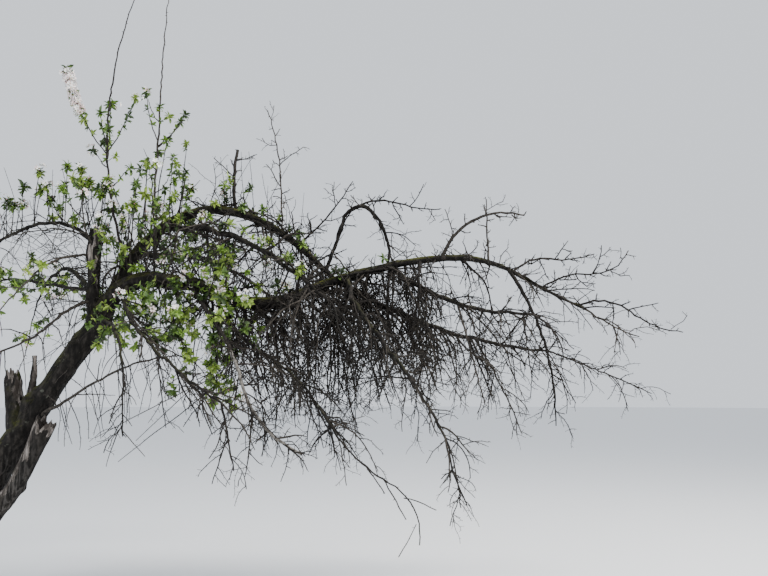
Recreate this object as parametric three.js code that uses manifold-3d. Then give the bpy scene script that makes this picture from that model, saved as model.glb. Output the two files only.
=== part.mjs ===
// An old quince tree, half dead. A leaning trunk forks into long arching boughs. The far side of the crown
// is bare, a tangle of crooked hanging twigs. Round the fork the tree still has leafy, blossoming shoots.
// Millimetres, +Z up. The origin is the middle of the trunk's foot on the ground. +X is the way it leans.
import * as THREE from "three";
import { mergeVertices } from "three/addons/utils/BufferGeometryUtils.js";
import Module from "manifold-3d";

const wasm = await Module();
wasm.setup();

// Clearances
const SEAT_GAP = 0.35; // between a limb and what grows out of it
const SPAN_GAP = 0.3; // between two spans of one limb
const FOOT_DEPTH = 60; // the trunk is drawn this far into the ground, then cut flat
const GROUND_CLEARANCE = 60; // no twig hangs lower than this
const TWIG_CLEARANCE = 4; // from a twig to a limb that it doesn't grow on
const SPACE_MARGIN = 1; // from a twig to the edge of its mass's own space

// How finely paths are followed
const PATH_STEPS = 24;
const FRAME_STEPS = 48;
const MERGE_DISTANCE = 1e-4; // points of one geometry this near are the same
const WELD = 0.05; // edges shorter than this close up where solids are joined or cut

// The dead spike beside a broken stem
const PRONG_SIDES = 6;
const PRONG_STEPS = 4;

// Root flare
const FLARE_RISE = 46; // added to the trunk's radius at ground level
const FLARE_HEIGHT = 130; // height over which the flare fades
const BUTTRESSES = [3, 5]; // two uneven rings of lobes round the foot
const BUTTRESS_DEPTH = 0.1; // depth of each ring, as a share of the radius

// Stems of twig masses
const THICK_STEM = 10; // a stem of this radius or more is four-sided, a thinner one three-sided
const STEM_STEP = 220; // length of one facet along a stem
const STEM_TIP_RADIUS = 1.6; // unless a mass has its own
const ARM_RADIUS = 5;

// Side twigs
const TWIG_SIDES = 3;
const TWIG_STEPS = 3;
const FORK_STEPS = 1;
const GOLDEN_ANGLE = 137.5;
const TWIG_RADIUS = 4.2;
const FORK_RADIUS = 3;
const BLUNT_TIP = 0.45; // tip radius of a twig that ends in a leaf, or of a prong, as a share of its foot's
const FIRST_TWIG = 0.12; // share of the stem that is clear of twigs at its foot
const SHORTER = 0.62; // a twig that doesn't fit is tried once more at this share of its length
const CROOKEDNESS = 0.28;

// Leaf sprays and blossom, larger than life because each stands for several
const LEAF_LENGTH = 135;
const LEAF_WIDTH = 62;
const LEAF_THICKNESS = 8;
const STEM_LEAF_SPACING = 210; // leaves stand on a stem this far apart
const STEM_LEAF_LEAN = 58; // degrees off the stem
const TIP_LEAF_SHARE = 0.84; // a tip's leaf starts at this share of its twig
const TIP_LEAF_LEAN = 10;
const BLOOM_RADIUS = 30;
const BLOOM_SPACING = 0.13; // along an arm, as a share of its length

const FINISHES = {
  bark: { color: 0x3b352f, roughness: 0.92, metalness: 0 },
  weathered_wood: { color: 0x8d867b, roughness: 0.85, metalness: 0 },
  bare_twigs: { color: 0x4d453d, roughness: 0.9, metalness: 0 },
  leafy_shoots: { color: 0x7d9a3c, roughness: 0.7, metalness: 0 },
};

// Each limb grows from a share of its parent's length. Its bends are [climb, heading] in degrees, evenly
// spaced along it: climb is above level, heading turns from +X towards +Y. Its girth is its radius, evenly
// spaced along it. It is drawn in a number of steps, and cuts are the steps where it is divided into spans.
const LIMBS = {
  trunk: {
    length: 2240, bends: [[80, 0], [70, 0], [55, 0], [55, 0]], girth: [136, 124, 108, 96, 88, 83, 88],
    sides: 14, steps: 11,
  },
  main_bough: {
    on: "trunk", at: 0.98, length: 3850, girth: [66, 58, 52, 44, 34, 27, 22.5, 13, 8.5],
    bends: [[80, 10], [0, -10], [-25, -5], [25, 15], [15, 0], [5, 0], [-30, 0], [-25, 0]],
    steps: 26, sides: 8, cuts: [8, 17],
  },
  arch_bough: {
    on: "trunk", at: 1, length: 2360, girth: [50, 46, 41, 36, 31, 26, 20], steps: 16, sides: 8, cuts: [8],
    bends: [[70, 50], [65, 35], [45, 15], [10, 10], [-25, 5], [-40, -5], [-45, -15]],
  },
  snag: {
    on: "trunk", at: 0.97, length: 700, bends: [[80, 180], [95, 180]], girth: [52, 45, 43, 54, 48],
    steps: 7, ragged: 30, finish: "weathered_wood",
  },
  broken_stem: {
    on: "trunk", at: 0.58, length: 390, bends: [[65, 160], [85, 180]], girth: [72, 63, 54], steps: 5,
    ragged: 46, prong: { length: 440, radius: 33, out: 70, bends: [[66, -10], [84, 160]] },
    finish: "weathered_wood",
  },
  split_stub: {
    on: "trunk", at: 0.22, length: 970, bends: [[38, -14], [46, -14], [64, -12], [68, -10]],
    girth: [72, 68, 62, 58, 61, 74], steps: 8, ragged: 50, finish: "weathered_wood",
  },
  under_arch_bough: {
    on: "arch_bough", at: 0.34, length: 1510, bends: [[5, -30], [-25, -20], [-40, -30]],
    girth: [23, 19, 12],
  },
  hook_bough: {
    on: "arch_bough", at: 0.96, length: 1500, girth: [14, 13, 12, 10, 8], steps: 16, cuts: [7],
    bends: [[65, -30], [70, -20], [-55, -15], [-95, -15], [-90, -15]],
  },
  low_middle_bough: {
    on: "main_bough", at: 0.61, length: 1110, bends: [[-40, -30], [0, -5]], girth: [21, 15, 9],
  },
  low_far_bough: {
    on: "main_bough", at: 0.51, length: 1810, bends: [[-25, 35], [-5, 5]], girth: [23, 16, 9],
  },
  front_hanging_bough: {
    on: "main_bough", at: 0.53, length: 1600, bends: [[-30, -88], [-45, -35], [-65, -5]],
    girth: [19, 13, 7],
  },
  front_long_bough: {
    on: "main_bough", at: 0.28, length: 1480, bends: [[-40, -75], [-30, -20], [-60, -20]],
    girth: [13, 10, 7],
  },
  left_bough: {
    on: "snag", at: 0.87, length: 1150, bends: [[50, 180], [-25, 180], [-25, 180]], girth: [15, 12, 8],
  },
  back_right_bough: {
    on: "arch_bough", at: 0.15, length: 2000, bends: [[35, 105], [0, 50], [-40, 20]], girth: [27, 19, 10],
  },
  back_left_bough: {
    on: "snag", at: 0.25, length: 1800, bends: [[25, 115], [20, 130], [-35, 130]], girth: [23, 17, 9],
  },
  front_right_bough: {
    on: "main_bough", at: 0.1, length: 1600, bends: [[-25, -85], [-35, -40], [-28, -20]],
    girth: [14, 10, 7],
  },
  front_left_bough: {
    on: "trunk", at: 0.96, length: 1150, bends: [[15, -58], [-50, -62]], girth: [15, 11, 7],
  },
};
const LIMB_SIDES = 7;
const LIMB_STEPS = 8;

// The habits of the masses. Spacing is along the stem, reach is the length of the lowest side twigs, lean
// is off the stem, pull turns a twig down or up as it grows, and forked is the share with a twiglet.
const HABITS = {
  curtain: { spacing: 155, reach: 400, lean: 48, pull: -0.34, forked: 0.3, finish: "bare_twigs" },
  spurred: { spacing: 150, reach: 300, lean: 62, pull: 0.12, forked: 0.3, finish: "bare_twigs" },
  shoots: { spacing: 260, reach: 330, lean: 48, pull: 0.3, leafy: true, finish: "leafy_shoots" },
  drooping: { spacing: 280, reach: 300, lean: 55, pull: -0.12, leafy: true, finish: "leafy_shoots" },
};

// Each mass of twigs has one stem, given as a limb is. radius is the stem's at its foot, and tip its radius
// at its end. leafyTo is the share where a leafy stem becomes a bare whip. arms are its own side shoots,
// and blooms are clusters of blossom, at the tips of its twigs or down an arm.
const MASSES = {
  tip_low_twigs: { on: "main_bough", at: 1, length: 430, bends: [[-35, 5], [-20, -5]], radius: 8 },
  tip_high_twigs: {
    on: "main_bough", at: 0.985, length: 860, bends: [[25, 12], [-35, 10], [-5, 5]], radius: 8.5,
    habit: "spurred",
  },
  ridge_right_twigs: {
    on: "main_bough", at: 0.91, length: 700, bends: [[35, -15], [-5, -10], [65, -5]], radius: 8,
    habit: "spurred",
  },
  ridge_middle_twigs: {
    on: "main_bough", at: 0.85, length: 690, bends: [[45, 30], [-5, 10], [20, 5]], radius: 9,
    habit: "spurred",
  },
  upright_twigs: {
    on: "main_bough", at: 0.8, length: 470, bends: [[85, 110], [85, -95]], radius: 8, habit: "spurred",
  },
  small_arch_twigs: {
    on: "main_bough", at: 0.71, length: 740, bends: [[65, -30], [-15, -5]], radius: 16, tip: 6,
    habit: "spurred",
  },
  steep_hang_twigs: {
    on: "main_bough", at: 0.84, length: 1180, bends: [[-55, -35], [-85, -125]], radius: 15,
  },
  low_middle_tip_twigs: {
    on: "low_middle_bough", at: 1, length: 410, bends: [[-25, -10], [-85, -135]], radius: 8,
  },
  low_far_tip_twigs: { on: "low_far_bough", at: 1, length: 870, bends: [[-20, 0], [-25, 0]], radius: 8 },
  under_middle_twigs: {
    on: "low_middle_bough", at: 0.54, length: 770, bends: [[-50, -80], [-75, -25]], radius: 9,
  },
  under_far_twigs: { on: "low_far_bough", at: 0.67, length: 820, bends: [[-55, 20], [-70, 5]], radius: 9 },
  front_hanging_tip_twigs: {
    on: "front_hanging_bough", at: 1, length: 360, bends: [[-60, -90], [-60, 10]], radius: 6.5,
  },
  front_long_tip_twigs: {
    on: "front_long_bough", at: 1, length: 850, bends: [[-50, -10], [-30, -5], [-80, -135]], radius: 6.5,
    spacing: 240,
  },
  pale_hanging_twigs: {
    on: "main_bough", at: 0.22, length: 1700, bends: [[-30, -60], [-35, -50], [-65, -40], [-25, 5]],
    radius: 14,
  },
  hook_tip_twigs: { on: "hook_bough", at: 1, length: 640, bends: [[-80, -35], [-70, -165]], radius: 7 },
  hook_fan_twigs: {
    on: "hook_bough", at: 0.37, length: 650, bends: [[25, -10], [-20, -10], [0, -5]],
    radius: 9, habit: "spurred",
  },
  under_arch_tip_twigs: {
    on: "under_arch_bough", at: 1, length: 810, bends: [[-35, -20], [-75, -25]], radius: 11,
  },
  arch_sprig_twigs: {
    on: "arch_bough", at: 0.83, length: 660, bends: [[35, -15], [60, -5]], radius: 9, habit: "spurred",
  },
  curtain_inner_twigs: {
    on: "main_bough", at: 0.42, length: 830, bends: [[-40, -65], [-85, 65]], radius: 10,
  },
  curtain_middle_twigs: {
    on: "main_bough", at: 0.545, length: 1070, bends: [[-15, 90], [-80, 210]], radius: 10,
  },
  curtain_outer_twigs: {
    on: "main_bough", at: 0.67, length: 930, bends: [[-40, -100], [-65, -30]], radius: 10,
  },
  back_right_tip_twigs: {
    on: "back_right_bough", at: 1, length: 640, bends: [[-40, 20], [-70, 15]], radius: 9,
  },
  front_right_tip_twigs: {
    on: "front_right_bough", at: 1, length: 400, bends: [[-75, -10], [-75, -40]], radius: 7.5,
  },
  tall_stub_twigs: {
    on: "arch_bough", at: 0.6, length: 500, bends: [[80, 215], [80, 25]], radius: 15, tip: 11,
    habit: "spurred",
  },
  whip_twigs: {
    on: "arch_bough", at: 0.77, length: 1010, bends: [[95, 80], [85, 170], [70, 180]], radius: 7,
    habit: "spurred", spacing: 220,
  },
  left_tip_shoots: {
    on: "left_bough", at: 1, length: 920, bends: [[-30, 180], [-80, 180]], radius: 7.5, habit: "drooping",
  },
  left_back_shoots: {
    on: "snag", at: 0.38, length: 1990, bends: [[10, 145], [10, 145], [-65, 170]],
    radius: 14, habit: "shoots",
  },
  left_front_shoots: {
    on: "snag", at: 0.28, length: 1360, bends: [[-15, -115], [-30, -90], [-25, -125], [-55, -160]],
    radius: 13, habit: "drooping",
  },
  left_low_shoots: {
    on: "snag", at: 0.75, length: 1010, bends: [[0, -130], [-45, -115], [-55, -175]], radius: 10,
    habit: "drooping",
  },
  low_branch_shoots: {
    on: "trunk", at: 0.62, length: 1350, bends: [[15, -20], [30, -20], [20, -10], [-5, -5]], radius: 14,
    habit: "drooping", spacing: 240,
  },
  back_left_tip_shoots: {
    on: "back_left_bough", at: 1, length: 480, bends: [[-40, 135], [-85, 130]],
    radius: 8, habit: "drooping",
  },
  front_left_tip_twigs: {
    on: "front_left_bough", at: 1, length: 380, bends: [[-70, -70], [-85, 55]], radius: 7,
  },
  shoot_left: {
    on: "main_bough", at: 0.11, length: 2410, bends: [[65, 175], [90, 200], [70, 0]],
    radius: 11, habit: "shoots", leafyTo: 0.5,
    arms: [
      { share: 0.41, length: 740, bends: [[50, 180], [76, 180]], blooms: 4 },
      { share: 0.4, length: 450, bends: [[70, 100], [85, 180]], blooms: 1 },
      { share: 0.42, length: 460, bends: [[50, -20], [75, 20]], blooms: 1 },
    ],
  },
  shoot_right: {
    on: "arch_bough", at: 0.3, length: 2090, bends: [[85, -20], [90, 160], [85, -5]],
    radius: 10, habit: "shoots", leafyTo: 0.5,
    arms: [
      { share: 0.34, length: 260, bends: [[40, 0], [65, 10]], blooms: 1 },
      { share: 0.36, length: 410, bends: [[65, 190], [85, 160]], blooms: 1 },
    ],
  },
  snag_top_shoots: {
    on: "snag", at: 0.84, length: 520, bends: [[30, -110], [85, -150], [85, 180]], radius: 8,
    habit: "shoots", spacing: 120, blooms: 1,
  },
  fork_shoots: {
    on: "main_bough", at: 0.15, length: 750, bends: [[75, -80], [80, 140]], radius: 9, habit: "shoots",
    spacing: 165, blooms: 2,
  },
  arch_shoots: {
    on: "arch_bough", at: 0.4, length: 350, bends: [[65, -15], [85, 155]], radius: 8, habit: "shoots",
    spacing: 100, blooms: 1,
  },
  leaf_column_shoots: {
    on: "under_arch_bough", at: 0.49, length: 1200, bends: [[-55, -100], [-74, -98], [-84, -60]],
    radius: 9, habit: "drooping", spacing: 130, blooms: 2,
  },
  fork_leaf_shoots: {
    on: "main_bough", at: 0.2, length: 800, bends: [[-30, -80], [-60, -60], [-75, -40]], radius: 9,
    habit: "drooping", spacing: 120, blooms: 1,
  },
};

// Numbers from a seed, the same each time.
function seededNumbers(seed) {
  let state = (seed * 7919 + 17) >>> 0;
  const next = () => {
    state = (Math.imul(state, 1664525) + 1013904223) >>> 0;
    return state / 4294967296;
  };
  next();
  next();
  return next;
}

function between(random, low, high) {
  return low + (high - low) * random();
}

function direction([climb, heading]) {
  const up = THREE.MathUtils.degToRad(climb);
  const round = THREE.MathUtils.degToRad(heading);
  return new THREE.Vector3(Math.cos(up) * Math.cos(round), Math.cos(up) * Math.sin(round), Math.sin(up));
}

// The value at a share of a list whose entries are evenly spaced.
function along(list, share, blend) {
  const place = THREE.MathUtils.clamp(share, 0, 1) * (list.length - 1);
  const first = Math.min(Math.floor(place), list.length - 2);
  return blend(list[first], list[first + 1], place - first);
}

function girthAt(girth, share) {
  return along(girth, share, THREE.MathUtils.lerp);
}

// A path that starts at a point and turns steadily from each bend's direction to the next. A rod that is
// laid along it is drawn in a number of facets.
function bentPath(start, length, bends, facets) {
  const headings = bends.map(direction);
  const points = [start.clone()];
  for (let step = 0; step < PATH_STEPS; step += 1) {
    const share = (step + 0.5) / PATH_STEPS;
    const heading = along(headings, share, (a, b, t) => a.clone().lerp(b, t).normalize());
    points.push(points.at(-1).clone().addScaledVector(heading, length / PATH_STEPS));
  }
  return framedPath(points, facets);
}

function framedPath(points, facets) {
  const path = new THREE.CatmullRomCurve3(points, false, "catmullrom", 0.5);
  path.crosswise = path.computeFrenetFrames(FRAME_STEPS, false).normals;
  path.facets = facets;
  return path;
}

// The middle of the rod that is laid along a path, which cuts the path's corners.
function rootAt(path, share) {
  const place = share * path.facets;
  const first = Math.min(Math.floor(place), path.facets - 1);
  const end = path.getPointAt((first + 1) / path.facets);
  return path.getPointAt(first / path.facets).lerp(end, place - first);
}

// The cross-section of a path at a share of its length: its middle and three directions.
function sectionAt(path, share) {
  const middle = path.getPointAt(share);
  const forward = path.getTangentAt(share);
  const across = path.crosswise[Math.round(share * FRAME_STEPS)].clone();
  across.addScaledVector(forward, -across.dot(forward)).normalize();
  return { middle, forward, across, beside: new THREE.Vector3().crossVectors(forward, across) };
}

function bareGeometry(geometry) {
  geometry.deleteAttribute("normal");
  geometry.deleteAttribute("uv");
  return mergeVertices(geometry, MERGE_DISTANCE);
}

// Lays a rod of radius 1 and height 1 along a stretch of a path. endShift moves a point of the far end
// along the path, and startShift a point of the near end.
function layAlong(rod, path, { from = 0, to = 1, radiusAt, startShift = () => 0, endShift = () => 0 }) {
  const geometry = bareGeometry(rod);
  const place = geometry.getAttribute("position");
  for (let i = 0; i < place.count; i += 1) {
    const rise = place.getY(i) + 0.5;
    const { middle, forward, across, beside } = sectionAt(path, from + (to - from) * rise);
    const radius = radiusAt(from + (to - from) * rise, Math.atan2(place.getX(i), place.getZ(i)));
    const shift = rise > 0.999 ? endShift() : rise < 0.001 ? -startShift() : 0;
    middle.addScaledVector(beside, place.getX(i) * radius);
    middle.addScaledVector(across, place.getZ(i) * radius);
    middle.addScaledVector(forward, shift);
    place.setXYZ(i, middle.x, middle.y, middle.z);
  }
  return geometry;
}

function toSolid(geometry) {
  const vertProperties = Float32Array.from(geometry.getAttribute("position").array);
  const triVerts = Uint32Array.from(geometry.getIndex().array);
  return new wasm.Manifold(new wasm.Mesh({ numProp: 3, vertProperties, triVerts, tolerance: WELD }));
}

// The largest body of a solid, without loose scraps and with sealed hollows filled.
function largestBody(solid) {
  return solid.decompose().reduce((kept, body) => (body.volume() > kept.volume() ? body : kept));
}

function toMesh(name, solid, finish) {
  const { vertProperties, triVerts } = solid.getMesh();
  const geometry = new THREE.BufferGeometry();
  geometry.setAttribute("position", new THREE.BufferAttribute(Float32Array.from(vertProperties), 3));
  geometry.setIndex(new THREE.BufferAttribute(Uint32Array.from(triVerts), 1));
  geometry.computeVertexNormals();
  const mesh = new THREE.Mesh(geometry, new THREE.MeshStandardMaterial(FINISHES[finish]));
  mesh.name = name;
  return mesh;
}

function boxesMeet(a, b) {
  const first = a.boundingBox();
  const second = b.boundingBox();
  return [0, 1, 2].every((axis) => {
    return first.min[axis] <= second.max[axis] && second.min[axis] <= first.max[axis];
  });
}

function cutClear(solid, obstacles) {
  const near = obstacles.filter((other) => boxesMeet(solid, other));
  return near.reduce((left, other) => left.subtract(other), solid);
}

// Limbs

const paths = {};
for (const [name, limb] of Object.entries(LIMBS)) {
  const foot = direction(limb.bends[0]).setLength(-FOOT_DEPTH);
  const start = limb.on ? paths[limb.on].getPointAt(limb.at) : foot;
  paths[name] = bentPath(start, limb.length, limb.bends, limb.steps ?? LIMB_STEPS);
}

// A limb's radius at a share of its length. The trunk's foot flares into buttresses.
function limbRadius(name, share, angle) {
  const radius = girthAt(LIMBS[name].girth, share);
  if (name !== "trunk") {
    return radius;
  }
  const height = Math.max(share * LIMBS.trunk.length - FOOT_DEPTH, 0);
  const flare = Math.exp(-height / FLARE_HEIGHT);
  const lobes = BUTTRESSES.reduce((sum, count) => sum + Math.cos(count * angle + count), 0);
  return (radius + FLARE_RISE * flare) * (1 + BUTTRESS_DEPTH * flare * lobes);
}

function limbSolid(name, { from = 0, to = 1, extra = 0 } = {}) {
  const { sides = LIMB_SIDES, ragged = 0 } = LIMBS[name];
  const random = seededNumbers(name.length);
  const steps = Math.max(Math.round(paths[name].facets * (to - from)), 2);
  const rod = new THREE.CylinderGeometry(1, 1, 1, sides, steps);
  const endShift = () => (ragged && !extra ? between(random, -ragged, ragged) : extra);
  const radiusAt = (share, angle) => limbRadius(name, share, angle) + extra;
  return toSolid(layAlong(rod, paths[name], { from, to, radiusAt, startShift: () => extra, endShift }));
}

// A dead side spike that stands beside a broken stem, fused to it near its foot.
function prongSolid(name) {
  const { prong } = LIMBS[name];
  const { middle, forward } = sectionAt(paths[name], 0.15);
  const start = middle.addScaledVector(forward, -prong.out / 2);
  const path = bentPath(start, prong.length + prong.out, prong.bends, PRONG_STEPS);
  const rod = new THREE.CylinderGeometry(BLUNT_TIP, 1, 1, PRONG_SIDES, path.facets);
  return toSolid(layAlong(rod, path, { radiusAt: () => prong.radius }));
}

function groundSolid() {
  const size = LIMBS.trunk.length;
  const block = new THREE.BoxGeometry(size, size, size).translate(0, 0, -size / 2);
  return toSolid(bareGeometry(block));
}

// Where a limb starts and ends its spans, each a hair clear of the next.
function spansOf(name) {
  const { cuts = [], length } = LIMBS[name];
  const { facets } = paths[name];
  const gap = SPAN_GAP / length / 2;
  const starts = [0, ...cuts.map((cut) => cut / facets + gap)];
  const ends = [...cuts.map((cut) => cut / facets - gap), 1];
  return starts.map((from, i) => ({ from, to: ends[i], title: cuts.length ? `${name}_${i + 1}` : name }));
}

const tree = new THREE.Group();
const ground = groundSolid();
const limbBodies = [];
for (const [name, limb] of Object.entries(LIMBS)) {
  const obstacles = [...limbBodies];
  for (const { from, to, title } of spansOf(name)) {
    let solid = limbSolid(name, { from, to });
    if (limb.prong) {
      solid = solid.add(prongSolid(name));
    }
    if (!limb.on) {
      solid = solid.subtract(ground);
    }
    tree.add(toMesh(title, largestBody(cutClear(solid, obstacles)), limb.finish ?? "bark"));
  }
  limbBodies.push(limbSolid(name, { extra: SEAT_GAP }));
}

// Masses of twigs

const limbSegments = Object.keys(LIMBS).flatMap((name) => {
  const points = paths[name].getSpacedPoints(FRAME_STEPS);
  return points.slice(1).map((end, i) => {
    const radius = limbRadius(name, (i + 0.5) / FRAME_STEPS, 0);
    return { line: new THREE.Line3(points[i], end), radius };
  });
});

const stems = {};
for (const [name, mass] of Object.entries(MASSES)) {
  const facets = Math.max(Math.round(mass.length / STEM_STEP), 3);
  stems[name] = bentPath(paths[mass.on].getPointAt(mass.at), mass.length, mass.bends, facets);
}
const arms = Object.fromEntries(Object.keys(MASSES).map((name) => {
  const list = (MASSES[name].arms ?? []).map(({ share, length, bends }) => {
    return bentPath(rootAt(stems[name], share), length, bends, TWIG_STEPS);
  });
  return [name, list];
}));

function segmentsOf(path) {
  const points = path.getSpacedPoints(PATH_STEPS);
  return points.slice(1).map((end, i) => new THREE.Line3(points[i], end));
}

const stemSegments = Object.fromEntries(Object.keys(MASSES).map((name) => {
  return [name, [stems[name], ...arms[name]].flatMap(segmentsOf)];
}));

const nearest = new THREE.Vector3();
function distanceTo(line, point) {
  return line.closestPointToPoint(point, true, nearest).distanceTo(point);
}

function distanceToStem(name, point) {
  return Math.min(...stemSegments[name].map((line) => distanceTo(line, point)));
}

// A mass's own space holds the points that lie nearer to its stem and arms than to any other mass's.
function inOwnSpace(name, point, radius) {
  const own = distanceToStem(name, point);
  const spare = own + 2 * (radius + SPACE_MARGIN);
  return Object.keys(stems).every((other) => other === name || distanceToStem(other, point) > spare);
}

function clearOfLimbs(point, radius) {
  return limbSegments.every((limb) => distanceTo(limb.line, point) > limb.radius + radius + TWIG_CLEARANCE);
}

function fits(name, point, radius) {
  const clear = point.z > GROUND_CLEARANCE + radius && clearOfLimbs(point, radius);
  return clear && inOwnSpace(name, point, radius);
}

// A direction that leans off a path by some degrees, turned some degrees round it.
function leanOff(forward, lean, turn) {
  const guide = Math.abs(forward.z) < 0.9 ? new THREE.Vector3(0, 0, 1) : new THREE.Vector3(1, 0, 0);
  const side = new THREE.Vector3().crossVectors(forward, guide).normalize();
  side.applyAxisAngle(forward, THREE.MathUtils.degToRad(turn));
  const angle = THREE.MathUtils.degToRad(lean);
  return forward.clone().multiplyScalar(Math.cos(angle)).addScaledVector(side, Math.sin(angle));
}

// A crooked twig that is pulled down or up as it grows.
function twigPath(start, heading, length, steps, pull, random) {
  const points = [start];
  const course = heading.clone();
  for (let step = 0; step < steps; step += 1) {
    points.push(points.at(-1).clone().addScaledVector(course, length / steps));
    course.x += between(random, -CROOKEDNESS, CROOKEDNESS);
    course.y += between(random, -CROOKEDNESS, CROOKEDNESS);
    course.z += between(random, -CROOKEDNESS, CROOKEDNESS) + pull;
    course.normalize();
  }
  return framedPath(points, steps);
}

// Leaves a carrier at a share of its length. A twig that leaves its space is tried once more, shorter.
function growTwig(name, carrier, { share, lean, turn, length, steps, radius, pull }, random) {
  for (const size of [length, length * SHORTER]) {
    const heading = leanOff(carrier.getTangentAt(share), lean, turn);
    const path = twigPath(rootAt(carrier, share), heading, size, steps, pull, random);
    const tests = [0.25, 0.5, 0.75, 1].map((part) => path.getPointAt(part));
    if (tests.every((point) => fits(name, point, radius))) {
      return path;
    }
  }
  return null;
}

function twigSolid(path, radius, tip = 0) {
  const rod = new THREE.CylinderGeometry(tip, 1, 1, TWIG_SIDES, path.facets);
  return toSolid(layAlong(rod, path, { radiusAt: () => radius }));
}

function stemRadius(name, share) {
  const { radius, tip = STEM_TIP_RADIUS } = MASSES[name];
  return THREE.MathUtils.lerp(radius, tip, share);
}

function stemSolid(name) {
  const sides = MASSES[name].radius < THICK_STEM ? 3 : 4;
  const rod = new THREE.CylinderGeometry(1, 1, 1, sides, stems[name].facets);
  return toSolid(layAlong(rod, stems[name], { radiusAt: (share) => stemRadius(name, share) }));
}

// A flat eight-sided leaf whose root is sunk to the middle of what bears it. A leaf that would leave the
// mass's space is skipped.
function leafSolid(name, path, { share, lean, turn }, random) {
  const middle = rootAt(path, share);
  const heading = leanOff(path.getTangentAt(share), lean, turn);
  const tip = middle.clone().addScaledVector(heading, LEAF_LENGTH);
  const waist = middle.clone().addScaledVector(heading, LEAF_LENGTH / 2);
  const roll = between(random, 0, Math.PI);
  if (!fits(name, tip, LEAF_THICKNESS) || !fits(name, waist, LEAF_WIDTH / 2)) {
    return [];
  }
  const blade = new THREE.OctahedronGeometry(0.5).scale(LEAF_LENGTH, LEAF_WIDTH, LEAF_THICKNESS);
  blade.translate(LEAF_LENGTH / 2, 0, 0).rotateX(roll);
  blade.applyQuaternion(new THREE.Quaternion().setFromUnitVectors(new THREE.Vector3(1, 0, 0), heading));
  return [toSolid(bareGeometry(blade.translate(middle.x, middle.y, middle.z)))];
}

function stemLeaves(name, random) {
  const { length, leafyTo = 1 } = MASSES[name];
  const count = Math.round((length * leafyTo) / STEM_LEAF_SPACING);
  return Array.from({ length: count }, (_, i) => {
    const share = FIRST_TWIG + ((i + 1) / (count + 1)) * (leafyTo - FIRST_TWIG);
    const turn = GOLDEN_ANGLE * (i + 0.5) + between(random, -25, 25);
    return leafSolid(name, stems[name], { share, lean: STEM_LEAF_LEAN, turn }, random);
  }).flat();
}

function tipLeaf(name, path, random) {
  const turn = between(random, 0, 360);
  return leafSolid(name, path, { share: TIP_LEAF_SHARE, lean: TIP_LEAF_LEAN, turn }, random);
}

function bloomSolids(path, count) {
  return Array.from({ length: count }, (_, i) => {
    const { x, y, z } = path.getPointAt(0.97 - BLOOM_SPACING * i);
    return toSolid(bareGeometry(new THREE.OctahedronGeometry(BLOOM_RADIUS).translate(x, y, z)));
  });
}

// A straight twiglet on some of the twigs.
function forkOf(name, twig, rule, random) {
  const share = between(random, 0.35, 0.7);
  const turn = between(random, 0, 360);
  const length = rule.length * between(random, 0.4, 0.6);
  const radius = Math.min(FORK_RADIUS, rule.radius * 0.7);
  const path = growTwig(name, twig, { ...rule, share, turn, length, steps: FORK_STEPS, radius }, random);
  return path ? [twigSolid(path, radius)] : [];
}

function massSolid(name, seed) {
  const mass = MASSES[name];
  const { leafyTo = 1 } = mass;
  const habit = HABITS[mass.habit ?? "curtain"];
  const random = seededNumbers(seed);
  const armSolids = arms[name].map((arm) => twigSolid(arm, ARM_RADIUS, BLUNT_TIP));
  const bodies = [stemSolid(name), ...armSolids];
  const twigs = [];
  const count = Math.max(Math.round((mass.length * leafyTo) / (mass.spacing ?? habit.spacing)), 2);
  for (let i = 0; i < count; i += 1) {
    const share = FIRST_TWIG + ((i + 0.5) / count) * (0.96 * leafyTo - FIRST_TWIG);
    const length = habit.reach * (1 - 0.55 * share) * between(random, 0.75, 1.2);
    const radius = Math.min(TWIG_RADIUS, stemRadius(name, share) * 0.9);
    const lean = habit.lean + between(random, -12, 12);
    const turn = GOLDEN_ANGLE * i + between(random, -20, 20);
    const rule = { share, lean, turn, length, steps: TWIG_STEPS, radius, pull: habit.pull };
    const twig = growTwig(name, stems[name], rule, random);
    if (!twig) {
      continue;
    }
    twigs.push(twig);
    bodies.push(twigSolid(twig, radius, habit.leafy ? BLUNT_TIP : 0));
    if (random() < (habit.forked ?? 0)) {
      bodies.push(...forkOf(name, twig, rule, random));
    }
  }
  if (habit.leafy) {
    const shoots = [...arms[name], ...twigs];
    bodies.push(...stemLeaves(name, random), ...shoots.flatMap((shoot) => tipLeaf(name, shoot, random)));
    bodies.push(...twigs.slice(0, mass.blooms ?? 0).flatMap((twig) => bloomSolids(twig, 1)));
    bodies.push(...arms[name].flatMap((arm, i) => bloomSolids(arm, mass.arms[i].blooms)));
  }
  return bodies.reduce((whole, body) => whole.add(body));
}

Object.keys(MASSES).forEach((name, index) => {
  const solid = largestBody(cutClear(massSolid(name, index + 1), limbBodies));
  tree.add(toMesh(name, solid, HABITS[MASSES[name].habit ?? "curtain"].finish));
});

export default tree;
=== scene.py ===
"""The looks of an old, half-dead quince tree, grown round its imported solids.

Lengths are in millimetres while things grow, and in metres once they are meshes. The limbs, stems and side
twigs follow the same tables and the same seeded rule as the solids. Finer twigs, leaves and blossom grow on
from them.
"""

import collections
import functools
import itertools
import math

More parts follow.
